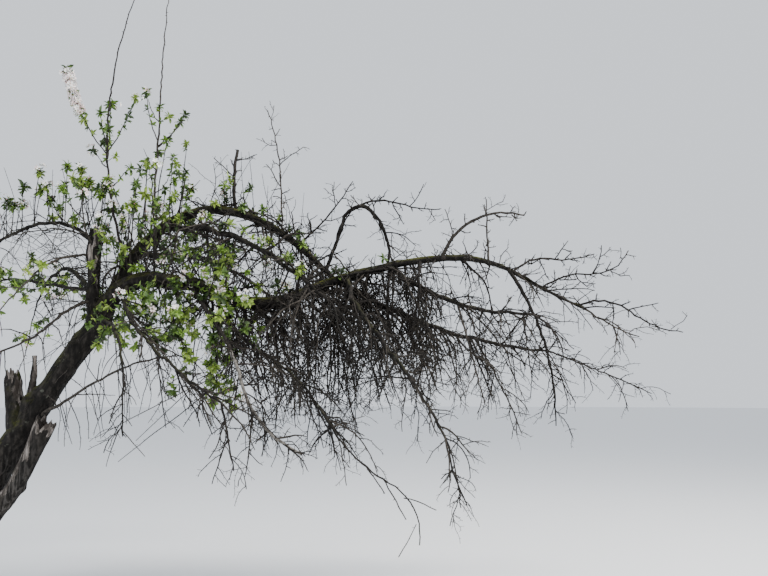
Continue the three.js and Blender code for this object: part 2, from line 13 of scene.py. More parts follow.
import bpy
import numpy as np
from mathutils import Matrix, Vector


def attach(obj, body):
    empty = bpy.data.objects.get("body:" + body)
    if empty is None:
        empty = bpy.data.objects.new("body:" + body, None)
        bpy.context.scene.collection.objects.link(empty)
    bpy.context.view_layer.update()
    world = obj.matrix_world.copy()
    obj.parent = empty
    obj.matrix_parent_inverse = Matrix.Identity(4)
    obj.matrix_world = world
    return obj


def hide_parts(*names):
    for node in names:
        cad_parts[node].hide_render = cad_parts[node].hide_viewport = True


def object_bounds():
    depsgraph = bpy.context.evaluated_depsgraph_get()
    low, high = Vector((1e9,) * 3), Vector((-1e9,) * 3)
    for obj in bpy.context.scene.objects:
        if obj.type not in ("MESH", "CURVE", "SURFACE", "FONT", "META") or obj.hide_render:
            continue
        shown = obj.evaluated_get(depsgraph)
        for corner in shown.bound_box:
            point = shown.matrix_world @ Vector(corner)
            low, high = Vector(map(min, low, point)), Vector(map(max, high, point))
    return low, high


MM = 0.001

# The solids' own measures
FOOT_DEPTH = 60
GROUND_CLEARANCE = 60
TWIG_CLEARANCE = 4
SPACE_MARGIN = 1
PATH_STEPS = 24
FRAME_STEPS = 48
LIMB_STEPS = 8
PRONG_STEPS = 4
STEM_STEP = 220
TWIG_STEPS = 3
FORK_STEPS = 1
FLARE_RISE = 46
FLARE_HEIGHT = 130
BUTTRESSES = [3, 5]
BUTTRESS_DEPTH = 0.1
STEM_TIP_RADIUS = 1.6
ARM_RADIUS = 5
TWIG_RADIUS = 4.2
FORK_RADIUS = 3
BLUNT_TIP = 0.45
GOLDEN_ANGLE = 137.5
FIRST_TWIG = 0.12
LAST_TWIG = 0.96
SHORTER = 0.62
CROOKEDNESS = 0.28
LEAF_LENGTH = 135
LEAF_WIDTH = 62
LEAF_THICKNESS = 8
STEM_LEAF_SPACING = 210
STEM_LEAF_LEAN = 58
TIP_LEAF_SHARE = 0.84
TIP_LEAF_LEAN = 10


def limb(on, at, length, girth, *bends, steps=LIMB_STEPS, spans=1, ragged=0, prong=None):
    """What a limb grows on and where, its length, its radii from foot to tip, and its path's bends, each in
    degrees above level and round from +X. spans is how many solids it has."""
    return dict(on=on, at=at, length=length, girth=girth, bends=bends, steps=steps, spans=spans,
                ragged=ragged, prong=prong)


LIMBS = dict(
    trunk=limb(None, 0, 2240, [136, 124, 108, 96, 88, 83, 88], (80, 0), (70, 0), (55, 0), (55, 0),
               steps=11),
    main_bough=limb("trunk", 0.98, 3850, [66, 58, 52, 44, 34, 27, 22.5, 13, 8.5], (80, 10), (0, -10),
                    (-25, -5), (25, 15), (15, 0), (5, 0), (-30, 0), (-25, 0), steps=26, spans=3),
    arch_bough=limb("trunk", 1, 2360, [50, 46, 41, 36, 31, 26, 20], (70, 50), (65, 35), (45, 15), (10, 10),
                    (-25, 5), (-40, -5), (-45, -15), steps=16, spans=2),
    snag=limb("trunk", 0.97, 700, [52, 45, 43, 54, 48], (80, 180), (95, 180), steps=7, ragged=30),
    broken_stem=limb("trunk", 0.58, 390, [72, 63, 54], (65, 160), (85, 180), steps=5, ragged=46,
                     prong=dict(length=440, radius=33, out=70, bends=[(66, -10), (84, 160)])),
    split_stub=limb("trunk", 0.22, 970, [72, 68, 62, 58, 61, 74], (38, -14), (46, -14), (64, -12),
                    (68, -10), steps=8, ragged=50),
    under_arch_bough=limb("arch_bough", 0.34, 1510, [23, 19, 12], (5, -30), (-25, -20), (-40, -30)),
    hook_bough=limb("arch_bough", 0.96, 1500, [14, 13, 12, 10, 8], (65, -30), (70, -20), (-55, -15),
                    (-95, -15), (-90, -15), steps=16, spans=2),
    low_middle_bough=limb("main_bough", 0.61, 1110, [21, 15, 9], (-40, -30), (0, -5)),
    low_far_bough=limb("main_bough", 0.51, 1810, [23, 16, 9], (-25, 35), (-5, 5)),
    front_hanging_bough=limb("main_bough", 0.53, 1600, [19, 13, 7], (-30, -88), (-45, -35), (-65, -5)),
    front_long_bough=limb("main_bough", 0.28, 1480, [13, 10, 7], (-40, -75), (-30, -20), (-60, -20)),
    left_bough=limb("snag", 0.87, 1150, [15, 12, 8], (50, 180), (-25, 180), (-25, 180)),
    back_right_bough=limb("arch_bough", 0.15, 2000, [27, 19, 10], (35, 105), (0, 50), (-40, 20)),
    back_left_bough=limb("snag", 0.25, 1800, [23, 17, 9], (25, 115), (20, 130), (-35, 130)),
    front_right_bough=limb("main_bough", 0.1, 1600, [14, 10, 7], (-25, -85), (-35, -40), (-28, -20)),
    front_left_bough=limb("trunk", 0.96, 1150, [15, 11, 7], (15, -58), (-50, -62)),
)

# An arm is its share of the stem, its length and its bends, and tip is the radius of the solid stem's tip. In
# the scene alone, bare is the share of the leaves that is left out, clear how far up the stem they start,
# bloom the share of the later twigs that blossom, pale_from where the stem has lost its bark, drawn_tip the
# radius of its tip, and a thin stem has spurs alone.
USUAL_MASS = dict(leafy=False, knobbed=False, forked=0, leafy_to=1, arms=[], blooms=0, tip=None, bare=0,
                  clear=None, bloom=0.25, pale_from=1, drawn_tip=3.8, thin=False)


def habit(**usual):
    """A way to grow, as a function that takes what a mass's stem grows on and where, its length, its radius
    at its foot, its bends, and what else is its own."""
    def mass(on, at, length, radius, *bends, **own):
        return USUAL_MASS | usual | dict(own, on=on, at=at, length=length, radius=radius, bends=bends)
    return mass


curtain = habit(spacing=155, reach=400, lean=48, pull=-0.34, forked=0.3)
spurred = habit(spacing=150, reach=300, lean=62, pull=0.12, forked=0.3, knobbed=True)
shoots = habit(spacing=260, reach=330, lean=48, pull=0.3, leafy=True)
drooping = habit(spacing=280, reach=300, lean=55, pull=-0.12, leafy=True)
# The crown's masses, zone by zone. What grows in a zone is joined into pieces of one kind.
ZONES = dict(
    far=dict(
        tip_low_twigs=curtain("main_bough", 1, 430, 8, (-35, 5), (-20, -5)),
        tip_high_twigs=spurred("main_bough", 0.985, 860, 8.5, (25, 12), (-35, 10), (-5, 5)),
        ridge_right_twigs=spurred("main_bough", 0.91, 700, 8, (35, -15), (-5, -10), (65, -5)),
        ridge_middle_twigs=spurred("main_bough", 0.85, 690, 9, (45, 30), (-5, 10), (20, 5)),
        upright_twigs=spurred("main_bough", 0.8, 470, 8, (85, 110), (85, -95)),
        small_arch_twigs=spurred("main_bough", 0.71, 740, 16, (65, -30), (-15, -5), tip=6),
        steep_hang_twigs=curtain("main_bough", 0.84, 1180, 15, (-55, -35), (-85, -125)),
        low_middle_tip_twigs=curtain("low_middle_bough", 1, 410, 8, (-25, -10), (-85, -135)),
        low_far_tip_twigs=curtain("low_far_bough", 1, 870, 8, (-20, 0), (-25, 0)),
        under_middle_twigs=curtain("low_middle_bough", 0.54, 770, 9, (-50, -80), (-75, -25)),
        under_far_twigs=curtain("low_far_bough", 0.67, 820, 9, (-55, 20), (-70, 5)),
    ),
    middle=dict(
        front_hanging_tip_twigs=curtain("front_hanging_bough", 1, 360, 6.5, (-60, -90), (-60, 10)),
        front_long_tip_twigs=curtain("front_long_bough", 1, 850, 6.5, (-50, -10), (-30, -5), (-80, -135),
                                     spacing=240, thin=True),
        pale_hanging_twigs=curtain("main_bough", 0.22, 1700, 14, (-30, -60), (-35, -50), (-65, -40), (-25, 5),
                                   pale_from=0.52, drawn_tip=7.5),
        hook_tip_twigs=curtain("hook_bough", 1, 640, 7, (-80, -35), (-70, -165)),
        hook_fan_twigs=spurred("hook_bough", 0.37, 650, 9, (25, -10), (-20, -10), (0, -5)),
        under_arch_tip_twigs=curtain("under_arch_bough", 1, 810, 11, (-35, -20), (-75, -25)),
        arch_sprig_twigs=spurred("arch_bough", 0.83, 660, 9, (35, -15), (60, -5)),
        curtain_inner_twigs=curtain("main_bough", 0.42, 830, 10, (-40, -65), (-85, 65)),
        curtain_middle_twigs=curtain("main_bough", 0.545, 1070, 10, (-15, 90), (-80, 210)),
        curtain_outer_twigs=curtain("main_bough", 0.67, 930, 10, (-40, -100), (-65, -30)),
        back_right_tip_twigs=curtain("back_right_bough", 1, 640, 9, (-40, 20), (-70, 15)),
        front_right_tip_twigs=curtain("front_right_bough", 1, 400, 7.5, (-75, -10), (-75, -40)),
        tall_stub_twigs=spurred("arch_bough", 0.6, 500, 15, (80, 215), (80, 25), tip=11),
        whip_twigs=spurred("arch_bough", 0.77, 1010, 7, (95, 80), (85, 170), (70, 180), spacing=220),
    ),
    left=dict(
        left_tip_shoots=drooping("left_bough", 1, 920, 7.5, (-30, 180), (-80, 180)),
        left_back_shoots=shoots("snag", 0.38, 1990, 14, (10, 145), (10, 145), (-65, 170)),
        left_front_shoots=drooping("snag", 0.28, 1360, 13, (-15, -115), (-30, -90), (-25, -125), (-55, -160),
                                   bare=0.7),
        left_low_shoots=drooping("snag", 0.75, 1010, 10, (0, -130), (-45, -115), (-55, -175), bare=0.7),
        low_branch_shoots=drooping("trunk", 0.62, 1350, 14, (15, -20), (30, -20), (20, -10), (-5, -5),
                                   spacing=240, bare=1),
        back_left_tip_shoots=drooping("back_left_bough", 1, 480, 8, (-40, 135), (-85, 130), bare=0.7),
        front_left_tip_twigs=curtain("front_left_bough", 1, 380, 7, (-70, -70), (-85, 55)),
    ),
    fork=dict(
        shoot_left=shoots("main_bough", 0.11, 2410, 11, (65, 175), (90, 200), (70, 0), leafy_to=0.5,
                          bare=0.35, clear=0.75,
                          arms=[(0.41, 740, [(50, 180), (76, 180)]), (0.4, 450, [(70, 100), (85, 180)]),
                                (0.42, 460, [(50, -20), (75, 20)])]),
        shoot_right=shoots("arch_bough", 0.3, 2090, 10, (85, -20), (90, 160), (85, -5), leafy_to=0.5,
                           bare=0.65, clear=0.85,
                           arms=[(0.34, 260, [(40, 0), (65, 10)]), (0.36, 410, [(65, 190), (85, 160)])]),
        snag_top_shoots=shoots("snag", 0.84, 520, 8, (30, -110), (85, -150), (85, 180), spacing=120, blooms=1,
                               bare=0.5, clear=0.7),
        fork_shoots=shoots("main_bough", 0.15, 750, 9, (75, -80), (80, 140), spacing=165, blooms=2, bare=0.35,
                           clear=0.65),
        arch_shoots=shoots("arch_bough", 0.4, 350, 8, (65, -15), (85, 155), spacing=100, blooms=1, bare=0.4),
        leaf_column_shoots=drooping("under_arch_bough", 0.49, 1200, 9, (-55, -100), (-74, -98), (-84, -60),
                                    spacing=130, blooms=2, bloom=0.3),
        fork_leaf_shoots=drooping("main_bough", 0.2, 800, 9, (-30, -80), (-60, -60), (-75, -40), spacing=120,
                                  blooms=1, bloom=0.3),
    ),
)
MASSES = {name: row for rows in ZONES.values() for name, row in rows.items()}
ZONE_LIMBS = dict(
    far=["low_middle_bough", "low_far_bough"],
    middle=["under_arch_bough", "hook_bough", "front_hanging_bough", "front_long_bough", "back_right_bough",
            "front_right_bough"],
    left=["left_bough", "back_left_bough", "front_left_bough", "broken_stem"],
    fork=["snag", "trunk"],
)


def zone_of(name, share):
    """Which zone what grows at a share of a limb or stem is joined to."""
    if name == "main_bough":
        return "fork" if share < 0.3 else "middle" if share < 0.5 else "far"
    if name == "arch_bough":
        return "fork" if share < 0.5 else "middle"
    return next(zone for zone in ZONES if name in ZONES[zone] or name in ZONE_LIMBS[zone])


# Where the seeds of each growth start
MASS_SEED, SPROUT_SEED, KNOT_SEED, COMPANION_SEED, SPIKE_SEED = 100, 300, 500, 900, 77


class Seeded:
    """Numbers that come from a seed, the same each time."""

    def __init__(self, seed):
        self.state = (seed * 7919 + 17) % 2**32
        self()
        self()

    def __call__(self, low=0, high=1):
        self.state = (self.state * 1664525 + 1013904223) % 2**32
        return low + (high - low) * (self.state / 2**32)

    def vector(self, most):
        return np.array([self(-most, most) for _ in range(3)])


def unit(vectors):
    return vectors / np.linalg.norm(vectors, axis=-1, keepdims=True)


def direction(bend):
    climb, heading = np.radians(bend)
    level = math.cos(climb)
    return np.array([level * math.cos(heading), level * math.sin(heading), math.sin(climb)])


def along(values, shares):
    """The values at some shares of a list whose entries are evenly spaced."""
    return np.interp(shares, np.linspace(0, 1, len(values)), values)


def across_line(around, across, beside):
    """Directions across a line at some angles round it."""
    return np.cos(around)[..., None] * across + np.sin(around)[..., None] * beside


# Paths

def smooth_line(points, per=8):
    """Many points on a smooth curve through a few."""
    ends = np.vstack([2 * points[0] - points[1], points, 2 * points[-1] - points[-2]])
    first, second = ends[1:-2], ends[2:-1]
    leave, arrive = (second - ends[:-3]) / 2, (ends[3:] - first) / 2
    part = (np.arange(per) / per)[:, None, None]
    bow = 3 * (second - first) - 2 * leave - arrive
    line = first + leave * part + bow * part**2 + (2 * (first - second) + leave + arrive) * part**3
    return np.vstack([line.transpose(1, 0, 2).reshape(-1, 3), points[-1:]])


class Line:
    """Points, and how far along each lies."""

    def __init__(self, points):
        self.points = points
        self.gaps = np.linalg.norm(np.diff(points, axis=0), axis=1)
        self.reach = np.concatenate([[0], np.cumsum(self.gaps)])
        self.length = self.reach[-1]

    def spot(self, place):
        """The point some way along, the direction there, and the number of the next point."""
        index = min(np.searchsorted(self.reach, place), len(self.points) - 1)
        near = self.points[index - 1]
        forward = (self.points[index] - near) / self.gaps[index - 1]
        return near + forward * (place - self.reach[index - 1]), forward, index


class Path(Line):
    """A smooth line that is read by shares of its length."""

    def __init__(self, points, facets):
        super().__init__(smooth_line(np.array(points)))
        self.facets = facets

    def at(self, shares):
        places = np.asarray(shares) * self.length
        return np.stack([np.interp(places, self.reach, self.points[:, axis]) for axis in range(3)], axis=-1)

    def heading(self, share):
        return unit(self.at(min(share + 0.002, 1)) - self.at(max(share - 0.002, 0)))

    def root(self, share):
        """The middle of the faceted solid that is laid along the path, which cuts its corners."""
        place = share * self.facets
        first = min(int(place), self.facets - 1)
        near, far = self.at([first / self.facets, (first + 1) / self.facets])
        return near + (far - near) * (place - first)

    def stretches(self, count):
        points = self.at(np.linspace(0, 1, count + 1))
        return points[:-1], points[1:]


def bent_path(start, length, bends, facets):
    headings = np.array([direction(bend) for bend in bends])
    shares = (np.arange(PATH_STEPS) + 0.5) / PATH_STEPS
    turned = np.stack([along(headings[:, axis], shares) for axis in range(3)], axis=-1)
    steps = unit(turned) * length / PATH_STEPS
    return Path(np.vstack([start, start + np.cumsum(steps, axis=0)]), facets)


def frames(line):
    """The two directions across a line at each of its points, turned as little as can be along it."""
    forward = unit(np.gradient(line, axis=0))
    pick = np.eye(3)[np.argmin(np.abs(forward[0]))]
    current = np.cross(forward[0], np.cross(forward[0], pick))
    across = np.empty_like(line)
    for index, ahead in enumerate(forward):
        current = current - ahead * (current @ ahead)
        current = current / math.sqrt(current @ current)
        across[index] = current
    return across, np.cross(forward, across)


def crooked_line(start, heading, length, steps, wobble, pull, random):
    """A line that turns a little at each step, and is drawn down or up."""
    points = [start]
    course = heading
    for _ in range(steps):
        points.append(points[-1] + course * length / steps)
        course = unit(course + random.vector(wobble) + [0, 0, pull])
    return np.array(points)


def lean_off(forward, lean, turn):
    """A direction that leans off a path by some degrees, turned some degrees round it."""
    guide = np.array([0, 0, 1]) if abs(forward[2]) < 0.9 else np.array([1, 0, 0])
    side = unit(np.cross(forward, guide))
    round_it = math.radians(turn)
    side = side * math.cos(round_it) + np.cross(forward, side) * math.sin(round_it)
    return forward * math.cos(math.radians(lean)) + side * math.sin(math.radians(lean))


paths = {}
for name, row in LIMBS.items():
    foot = paths[row["on"]].at(row["at"]) if row["on"] else direction(row["bends"][0]) * -FOOT_DEPTH
    paths[name] = bent_path(foot, row["length"], row["bends"], row["steps"])

stems, arms = {}, {}
for name, row in MASSES.items():
    facets = max(round(row["length"] / STEM_STEP), 3)
    stems[name] = bent_path(paths[row["on"]].at(row["at"]), row["length"], row["bends"], facets)
    arms[name] = [bent_path(stems[name].root(share), length, bends, TWIG_STEPS)
                  for share, length, bends in row["arms"]]


def limb_radius(name, shares, angles):
    """The solid limb's radius at shares of its length. The trunk's foot flares into buttresses."""
    radius = along(LIMBS[name]["girth"], shares)
    if name != "trunk":
        return radius
    height = np.maximum(shares * LIMBS["trunk"]["length"] - FOOT_DEPTH, 0)
    flare = np.exp(-height / FLARE_HEIGHT)
    lobes = sum(np.cos(count * angles + count) for count in BUTTRESSES)
    return (radius + FLARE_RISE * flare) * (1 + BUTTRESS_DEPTH * flare * lobes)


def stem_radius(name, share):
    foot, tip = MASSES[name]["radius"], MASSES[name]["tip"] or STEM_TIP_RADIUS
    return foot + (tip - foot) * share


# Each mass's own space, and what grows in it by the solids' rule

def distances(points, starts, ends):
    """How far each point is from each stretch of line."""
    span = ends - starts
    offset = points[:, None] - starts[None]
    part = np.clip(np.einsum("mni,ni->mn", offset, span) / np.einsum("ni,ni->n", span, span), 0, 1)
    return np.linalg.norm(offset - part[..., None] * span, axis=2)


limb_stretches = [path.stretches(FRAME_STEPS) for path in paths.values()]
limb_starts, limb_ends = map(np.vstack, zip(*limb_stretches))
middles = (np.arange(FRAME_STEPS) + 0.5) / FRAME_STEPS
limb_radii = np.concatenate([limb_radius(name, middles, 0) for name in LIMBS])
stem_rows = [(number, *path.stretches(PATH_STEPS))
             for number, name in enumerate(MASSES) for path in [stems[name], *arms[name]]]
numbers, starts, ends = zip(*stem_rows)
stem_starts, stem_ends, stem_owners = np.vstack(starts), np.vstack(ends), np.repeat(numbers, PATH_STEPS)


def clear_of_limbs(points, radius):
    gaps = distances(points, limb_starts, limb_ends) - limb_radii
    return (gaps > radius + TWIG_CLEARANCE).all()


def in_own_space(owner, points, radius):
    """Whether points lie nearer to their own mass's stem and arms than to any other's."""
    reach = distances(points, stem_starts, stem_ends)
    own = reach[:, stem_owners == owner].min(axis=1)
    other = reach[:, stem_owners != owner].min(axis=1)
    return (other > own + 2 * (radius + SPACE_MARGIN)).all()


def fits(owner, points, radius):
    points = np.atleast_2d(points)
    if (points[:, 2] <= GROUND_CLEARANCE + radius).any():
        return False
    return clear_of_limbs(points, radius) and in_own_space(owner, points, radius)


def grow_twig(owner, carrier, share, lean, turn, length, steps, pull, radius, random):
    """Leaves a carrier at a share of its length. A twig that leaves its space is tried once more, shorter."""
    for size in (length, length * SHORTER):
        heading = lean_off(carrier.heading(share), lean, turn)
        path = Path(crooked_line(carrier.root(share), heading, size, steps, CROOKEDNESS, pull, random), steps)
        if fits(owner, path.at([0.25, 0.5, 0.75, 1]), radius):
            return path
    return None


def leaf_place(owner, path, share, lean, turn, random):
    """Where the solid has a leaf, as its root and heading, or nothing where it would leave the space."""
    root = path.root(share)
    heading = lean_off(path.heading(share), lean, turn)
    random()  # the solid's leaf draws its roll
    if (fits(owner, root + heading * LEAF_LENGTH, LEAF_THICKNESS)
            and fits(owner, root + heading * LEAF_LENGTH / 2, LEAF_WIDTH / 2)):
        return [(root, heading)]
    return []


def solid_growth(name, owner):
    """The twigs, forks and leaves of a mass's solid, by the rule and the draws that the solid has."""
    row = MASSES[name]
    random = Seeded(owner + 1)
    stem, top = stems[name], row["leafy_to"]
    twigs, forks, leaves = [], [], []
    count = max(round(row["length"] * top / row["spacing"]), 2)
    for index in range(count):
        share = FIRST_TWIG + (index + 0.5) / count * (LAST_TWIG * top - FIRST_TWIG)
        length = row["reach"] * (1 - 0.55 * share) * random(0.75, 1.2)
        radius = min(TWIG_RADIUS, stem_radius(name, share) * 0.9)
        lean = row["lean"] + random(-12, 12)
        turn = GOLDEN_ANGLE * index + random(-20, 20)
        twig = grow_twig(owner, stem, share, lean, turn, length, TWIG_STEPS, row["pull"], radius, random)
        if twig is None:
            continue
        twigs.append((twig, radius))
        if random() < row["forked"]:
            share, turn = random(0.35, 0.7), random(0, 360)
            length, radius = length * random(0.4, 0.6), min(FORK_RADIUS, radius * 0.7)
            fork = grow_twig(owner, twig, share, lean, turn, length, FORK_STEPS, row["pull"], radius, random)
            forks += [(fork, radius)] if fork else []
    if row["leafy"]:
        number = round(row["length"] * top / STEM_LEAF_SPACING)
        for index in range(number):
            share = FIRST_TWIG + (index + 1) / (number + 1) * (top - FIRST_TWIG)
            turn = GOLDEN_ANGLE * (index + 0.5) + random(-25, 25)
            leaves += leaf_place(owner, stem, share, STEM_LEAF_LEAN, turn, random)
        for shoot in [*arms[name], *(twig for twig, _ in twigs)]:
            leaves += leaf_place(owner, shoot, TIP_LEAF_SHARE, TIP_LEAF_LEAN, random(0, 360), random)
    return twigs, forks, leaves


# Meshes. A form is its points, its faces, and the number of each face's material. A heap is a list of forms
# that are joined into one piece.

@functools.lru_cache(maxsize=None)
def rod_faces(rings, sides):
    """Triangles of a closed rod whose points go ring by ring."""
    faces = []
    for ring, side in itertools.product(range(rings - 1), range(sides)):
        near, far = ring * sides + side, ring * sides + (side + 1) % sides
        faces += [[near, far, far + sides], [near, far + sides, near + sides]]
    last = (rings - 1) * sides
    for side in range(1, sides - 1):
        faces += [[0, side + 1, side], [last, last + side, last + side + 1]]
    return np.array(faces)


def form(points, faces, tint):
    return points, faces, np.full(len(faces), tint)


def rod(line, radii, sides, tint):
    across, beside = frames(line)
    angles = np.arange(sides) * math.tau / sides
    ring = across_line(angles, across[:, None], beside[:, None])
    points = line[:, None] + ring * radii[:, None, None]
    return form(points.reshape(-1, 3), rod_faces(len(line), sides), tint)


def place_in_scene(name, data):
    thing = bpy.data.objects.new(name, data)
    bpy.context.scene.collection.objects.link(thing)
    return thing


def make_piece(name, heap, materials, slot, nodes, smooth=True):
    """A mesh that rides with the tree and stands for some of its solids."""
    starts = np.cumsum([0] + [len(points) for points, _, _ in heap])
    points = np.concatenate([points for points, _, _ in heap])
    faces = np.concatenate([faces + start for (_, faces, _), start in zip(heap, starts)])
    tints = np.concatenate([tints for _, _, tints in heap])
    mesh = bpy.data.meshes.new(name)
    mesh.from_pydata((points * MM).tolist(), [], faces.tolist())
    for material in materials:
        mesh.materials.append(material)
    mesh.polygons.foreach_set("material_index", tints.astype(np.int32))
    mesh.polygons.foreach_set("use_smooth", np.full(len(faces), smooth))
    mesh.update()
    mesh.validate()
    piece = place_in_scene(name, mesh)
    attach(piece, "root")
    if nodes:
        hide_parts(*nodes)


PIECE_TRIANGLES = 170_000


def make_pieces(name, heap, *rest):
    """As many pieces as keep each a fair size."""
    ends = np.cumsum([len(faces) for _, faces, _ in heap])
    parts = math.ceil(ends[-1] / PIECE_TRIANGLES)
    owners = np.minimum(ends * parts // (ends[-1] + 1), parts - 1)
    for part in range(parts):
        title = f"{name}_{part + 1}" if parts > 1 else name
        make_piece(title, [heap[index] for index in np.flatnonzero(owners == part)], *rest)


def lattice_noise(points, seed):
    """Smooth noise from -1 to 1, with hills about one unit apart."""
    cell = np.floor(points).astype(np.int64)
    part = points - cell
    ease = part * part * (3 - 2 * part)
    total = 0
    for corner in itertools.product((0, 1), repeat=3):
        x, y, z = (cell + corner).T
        mixed = (x * 73856093) ^ (y * 19349663) ^ (z * 83492791) ^ (seed * 2654435761)
        mixed = ((mixed ^ (mixed >> 13)) * 1274126177) & 0xFFFFFFFF
        mixed = (mixed ^ (mixed >> 16)) & 0xFFFF
        weight = np.prod(np.where(corner, ease, 1 - ease), axis=1)
        total = total + weight * (mixed / 32767.5 - 1)
    return total


def layered_noise(points, seed, layers):
    return sum(lattice_noise(points * 2**layer, seed + layer) / 2**layer for layer in range(layers))


def line_noise(places, seed):
    return layered_noise(np.stack([places] * 3, axis=1), seed, 2)


# Trunk and boughs

RING_STEP = 9
LEAST_SIDES, MOST_SIDES = 16, 104
COLLAR = 0.38  # how much a bough swells at its foot, as a share of its radius
WANDER = 0.2  # how far a bough's middle wanders, as a share of its radius
LEAST_WANDER = 8
WANDER_WAVE = 7  # how long its waves are, in radii
STEADY_END = 200
KNOT_SPACING = 130
BARK_DEPTH = 5.5
SLIM_LIMB = 30
TEAR_REACH = 1.6  # how far down a torn end its splinters reach, in their own heights
CUP_RINGS = [0.86, 0.62, 0.36, 0.1]
PRONG_RINGS, PRONG_SIDES = 60, 14
# Where a stub is pale bare wood: from a share of its length on the side that faces some way, which on the
# snag is painted sunlight as well, and from another share all round
BARE_AND_SUNLIT_SIDES = {
    "snag": (0.95, [0.35, -1, 0], 0.985),
    "broken_stem": (0.8, [0.9, -0.5, 0], 0.985),
    "split_stub": (0.3, [-0.75, -0.35, 0.9], 0.945),
}
BARE_PRONG_SIDE = [1, -0.35, 0]


def bark_relief(around, reach, radius, seed):
    """How far bark stands out from a smooth limb: flutes and lumps, then fissures that run along it."""
    coarse = np.clip(radius / 100, 0.12, 1) ** 0.75
    x, y = np.cos(around) * radius, np.sin(around) * radius
    middle = radius.mean()

    def field(width, length, layers, shift):
        places = np.stack([x / width, y / width, reach / length], axis=-1)
        return layered_noise(places, seed * 10 + shift, layers)

    flutes = field(0.75 * middle, 9 * middle, 1, 1) * 0.1 * radius
    lumps = field(0.9 * middle, 1.6 * middle, 2, 2) * 0.085 * radius
    plates = 1 - np.abs(field(15 * coarse, 75 * coarse, 2, 3)) * 2.4
    fissures = -np.clip(plates, 0, 1) ** 2 * BARK_DEPTH * coarse
    return flutes + lumps + fissures + field(7 * coarse, 16 * coarse, 1, 5) * 0.8 * coarse


def knots(around, reach, radius, length, seed):
    """Swellings where twigs once grew, some with a sunken scar."""
    random = Seeded(seed + KNOT_SEED)
    total = np.zeros_like(reach)
    for _ in range(int(length / KNOT_SPACING)):
        place, turn = random(0.02, 0.98) * length, random(0, math.tau)
        size = radius.mean() * random(0.28, 0.62)
        gap = (np.cos(around - turn) - 1) * -2 * radius**2 + (reach - place) ** 2
        total += size * 0.42 * np.exp(-gap / size**2)
        total -= size * 0.34 * np.exp(-gap / (0.3 * size) ** 2) * (random() < 0.5)
    return total


def limb_mesh(name, seed):
    """Points, faces, and each face's share of the limb and outward direction, of a limb with its bark."""
    row, path = LIMBS[name], paths[name]
    length, thick, ragged = row["length"], max(row["girth"]), row["ragged"]
    sides = int(np.clip(thick * 1.1, LEAST_SIDES, MOST_SIDES)) // 2 * 2
    shares = np.linspace(0 if row["on"] else 0.4 * FOOT_DEPTH / length, 1, int(length / RING_STEP))
    line = path.at(shares)
    hills = shares * length / (thick * WANDER_WAVE)
    wander = np.stack([line_noise(hills + shift, seed) for shift in (0.5, 17.5, 41.5)], axis=1)
    fade = np.minimum(np.minimum(shares, 1 - shares) * length / STEADY_END, 1)
    amount = along(row["girth"], shares) * WANDER + (LEAST_WANDER if thick < SLIM_LIMB else 0)
    line = line + wander * (amount * fade)[:, None]
    across, beside = frames(line)
    angles = np.arange(sides) * math.tau / sides
    around, share = (grid.ravel() for grid in np.meshgrid(angles, shares))
    radius, reach = limb_radius(name, share, around), share * length
    relief = bark_relief(around, reach, radius, seed) + knots(around, reach, radius, length, seed)
    if row["on"]:
        parent = limb_radius(row["on"], row["at"], 0)
        relief = relief + radius * COLLAR * np.exp(-((reach / (1.5 * parent)) ** 2))
    outward = across_line(around.reshape(-1, sides), across[:, None], beside[:, None])
    points = line[:, None] + outward * (radius + relief).reshape(-1, sides)[..., None]
    if ragged:
        forward = path.heading(1)
        rim = np.stack([np.cos(angles) * 3, np.sin(angles) * 3, angles * 0 + seed], axis=1)
        tear = np.clip((shares - 1) * length / (TEAR_REACH * ragged) + 1, 0, 1)
        points = points + (tear[:, None] * layered_noise(rim, seed, 3) * ragged)[..., None] * forward
        cup = [line[-1] + (points[-1] - line[-1]) * size + forward * ragged * (size - 1) * 0.5
               for size in CUP_RINGS]
        points = np.concatenate([points, cup])
        shares = np.concatenate([shares, [1] * len(CUP_RINGS)])
        outward = np.concatenate([outward, outward[-1:].repeat(len(CUP_RINGS), axis=0)])
    if name == "trunk":
        points[..., 2] = np.maximum(points[..., 2], 0)
    faces = rod_faces(len(points), sides)
    first = faces[:, 0]
    return points.reshape(-1, 3), faces, np.repeat(shares, sides)[first], outward.reshape(-1, 3)[first]


def bare_and_sunlit_faces(name, middle, share, outward, seed):
    """Which faces of a dead stub are pale bare wood: its torn end, and one side, which on the snag is painted
    sunlight as well.
    """
    start, side, end = BARE_AND_SUNLIT_SIDES[name]
    patches = layered_noise(middle / [24, 24, 110], seed, 2)
    # The side that faces some way is painted pale: bare wood, and on the snag painted sunlight
    bare_and_sunlit_side = outward @ unit(np.array(side)) + (share - start) * 0.6 + patches * 0.5
    return (bare_and_sunlit_side > 0.8) | (share + patches * 0.03 > end)


def draw_prong(foot, length, radius, out, bends, seed):
    """A splintered spike that leans out of a stub's foot."""
    spike = bent_path(foot.at(0.15) - foot.heading(0.15) * out / 2, length + out, bends, PRONG_STEPS)
    shares = np.linspace(0, 1, PRONG_RINGS)
    line = spike.at(shares)
    wear = 1 + 0.16 * line_noise(shares * 9, seed)
    points, faces, _ = rod(line, radius * (1 - (1 - BLUNT_TIP) * shares**1.5) * wear, PRONG_SIDES, 0)
    facing = points[faces].mean(axis=1) - np.repeat(line, PRONG_SIDES, axis=0)[faces[:, 0]]
    return points, faces, (unit(facing) @ unit(np.array(BARE_PRONG_SIDE)) > 0.2).astype(int)


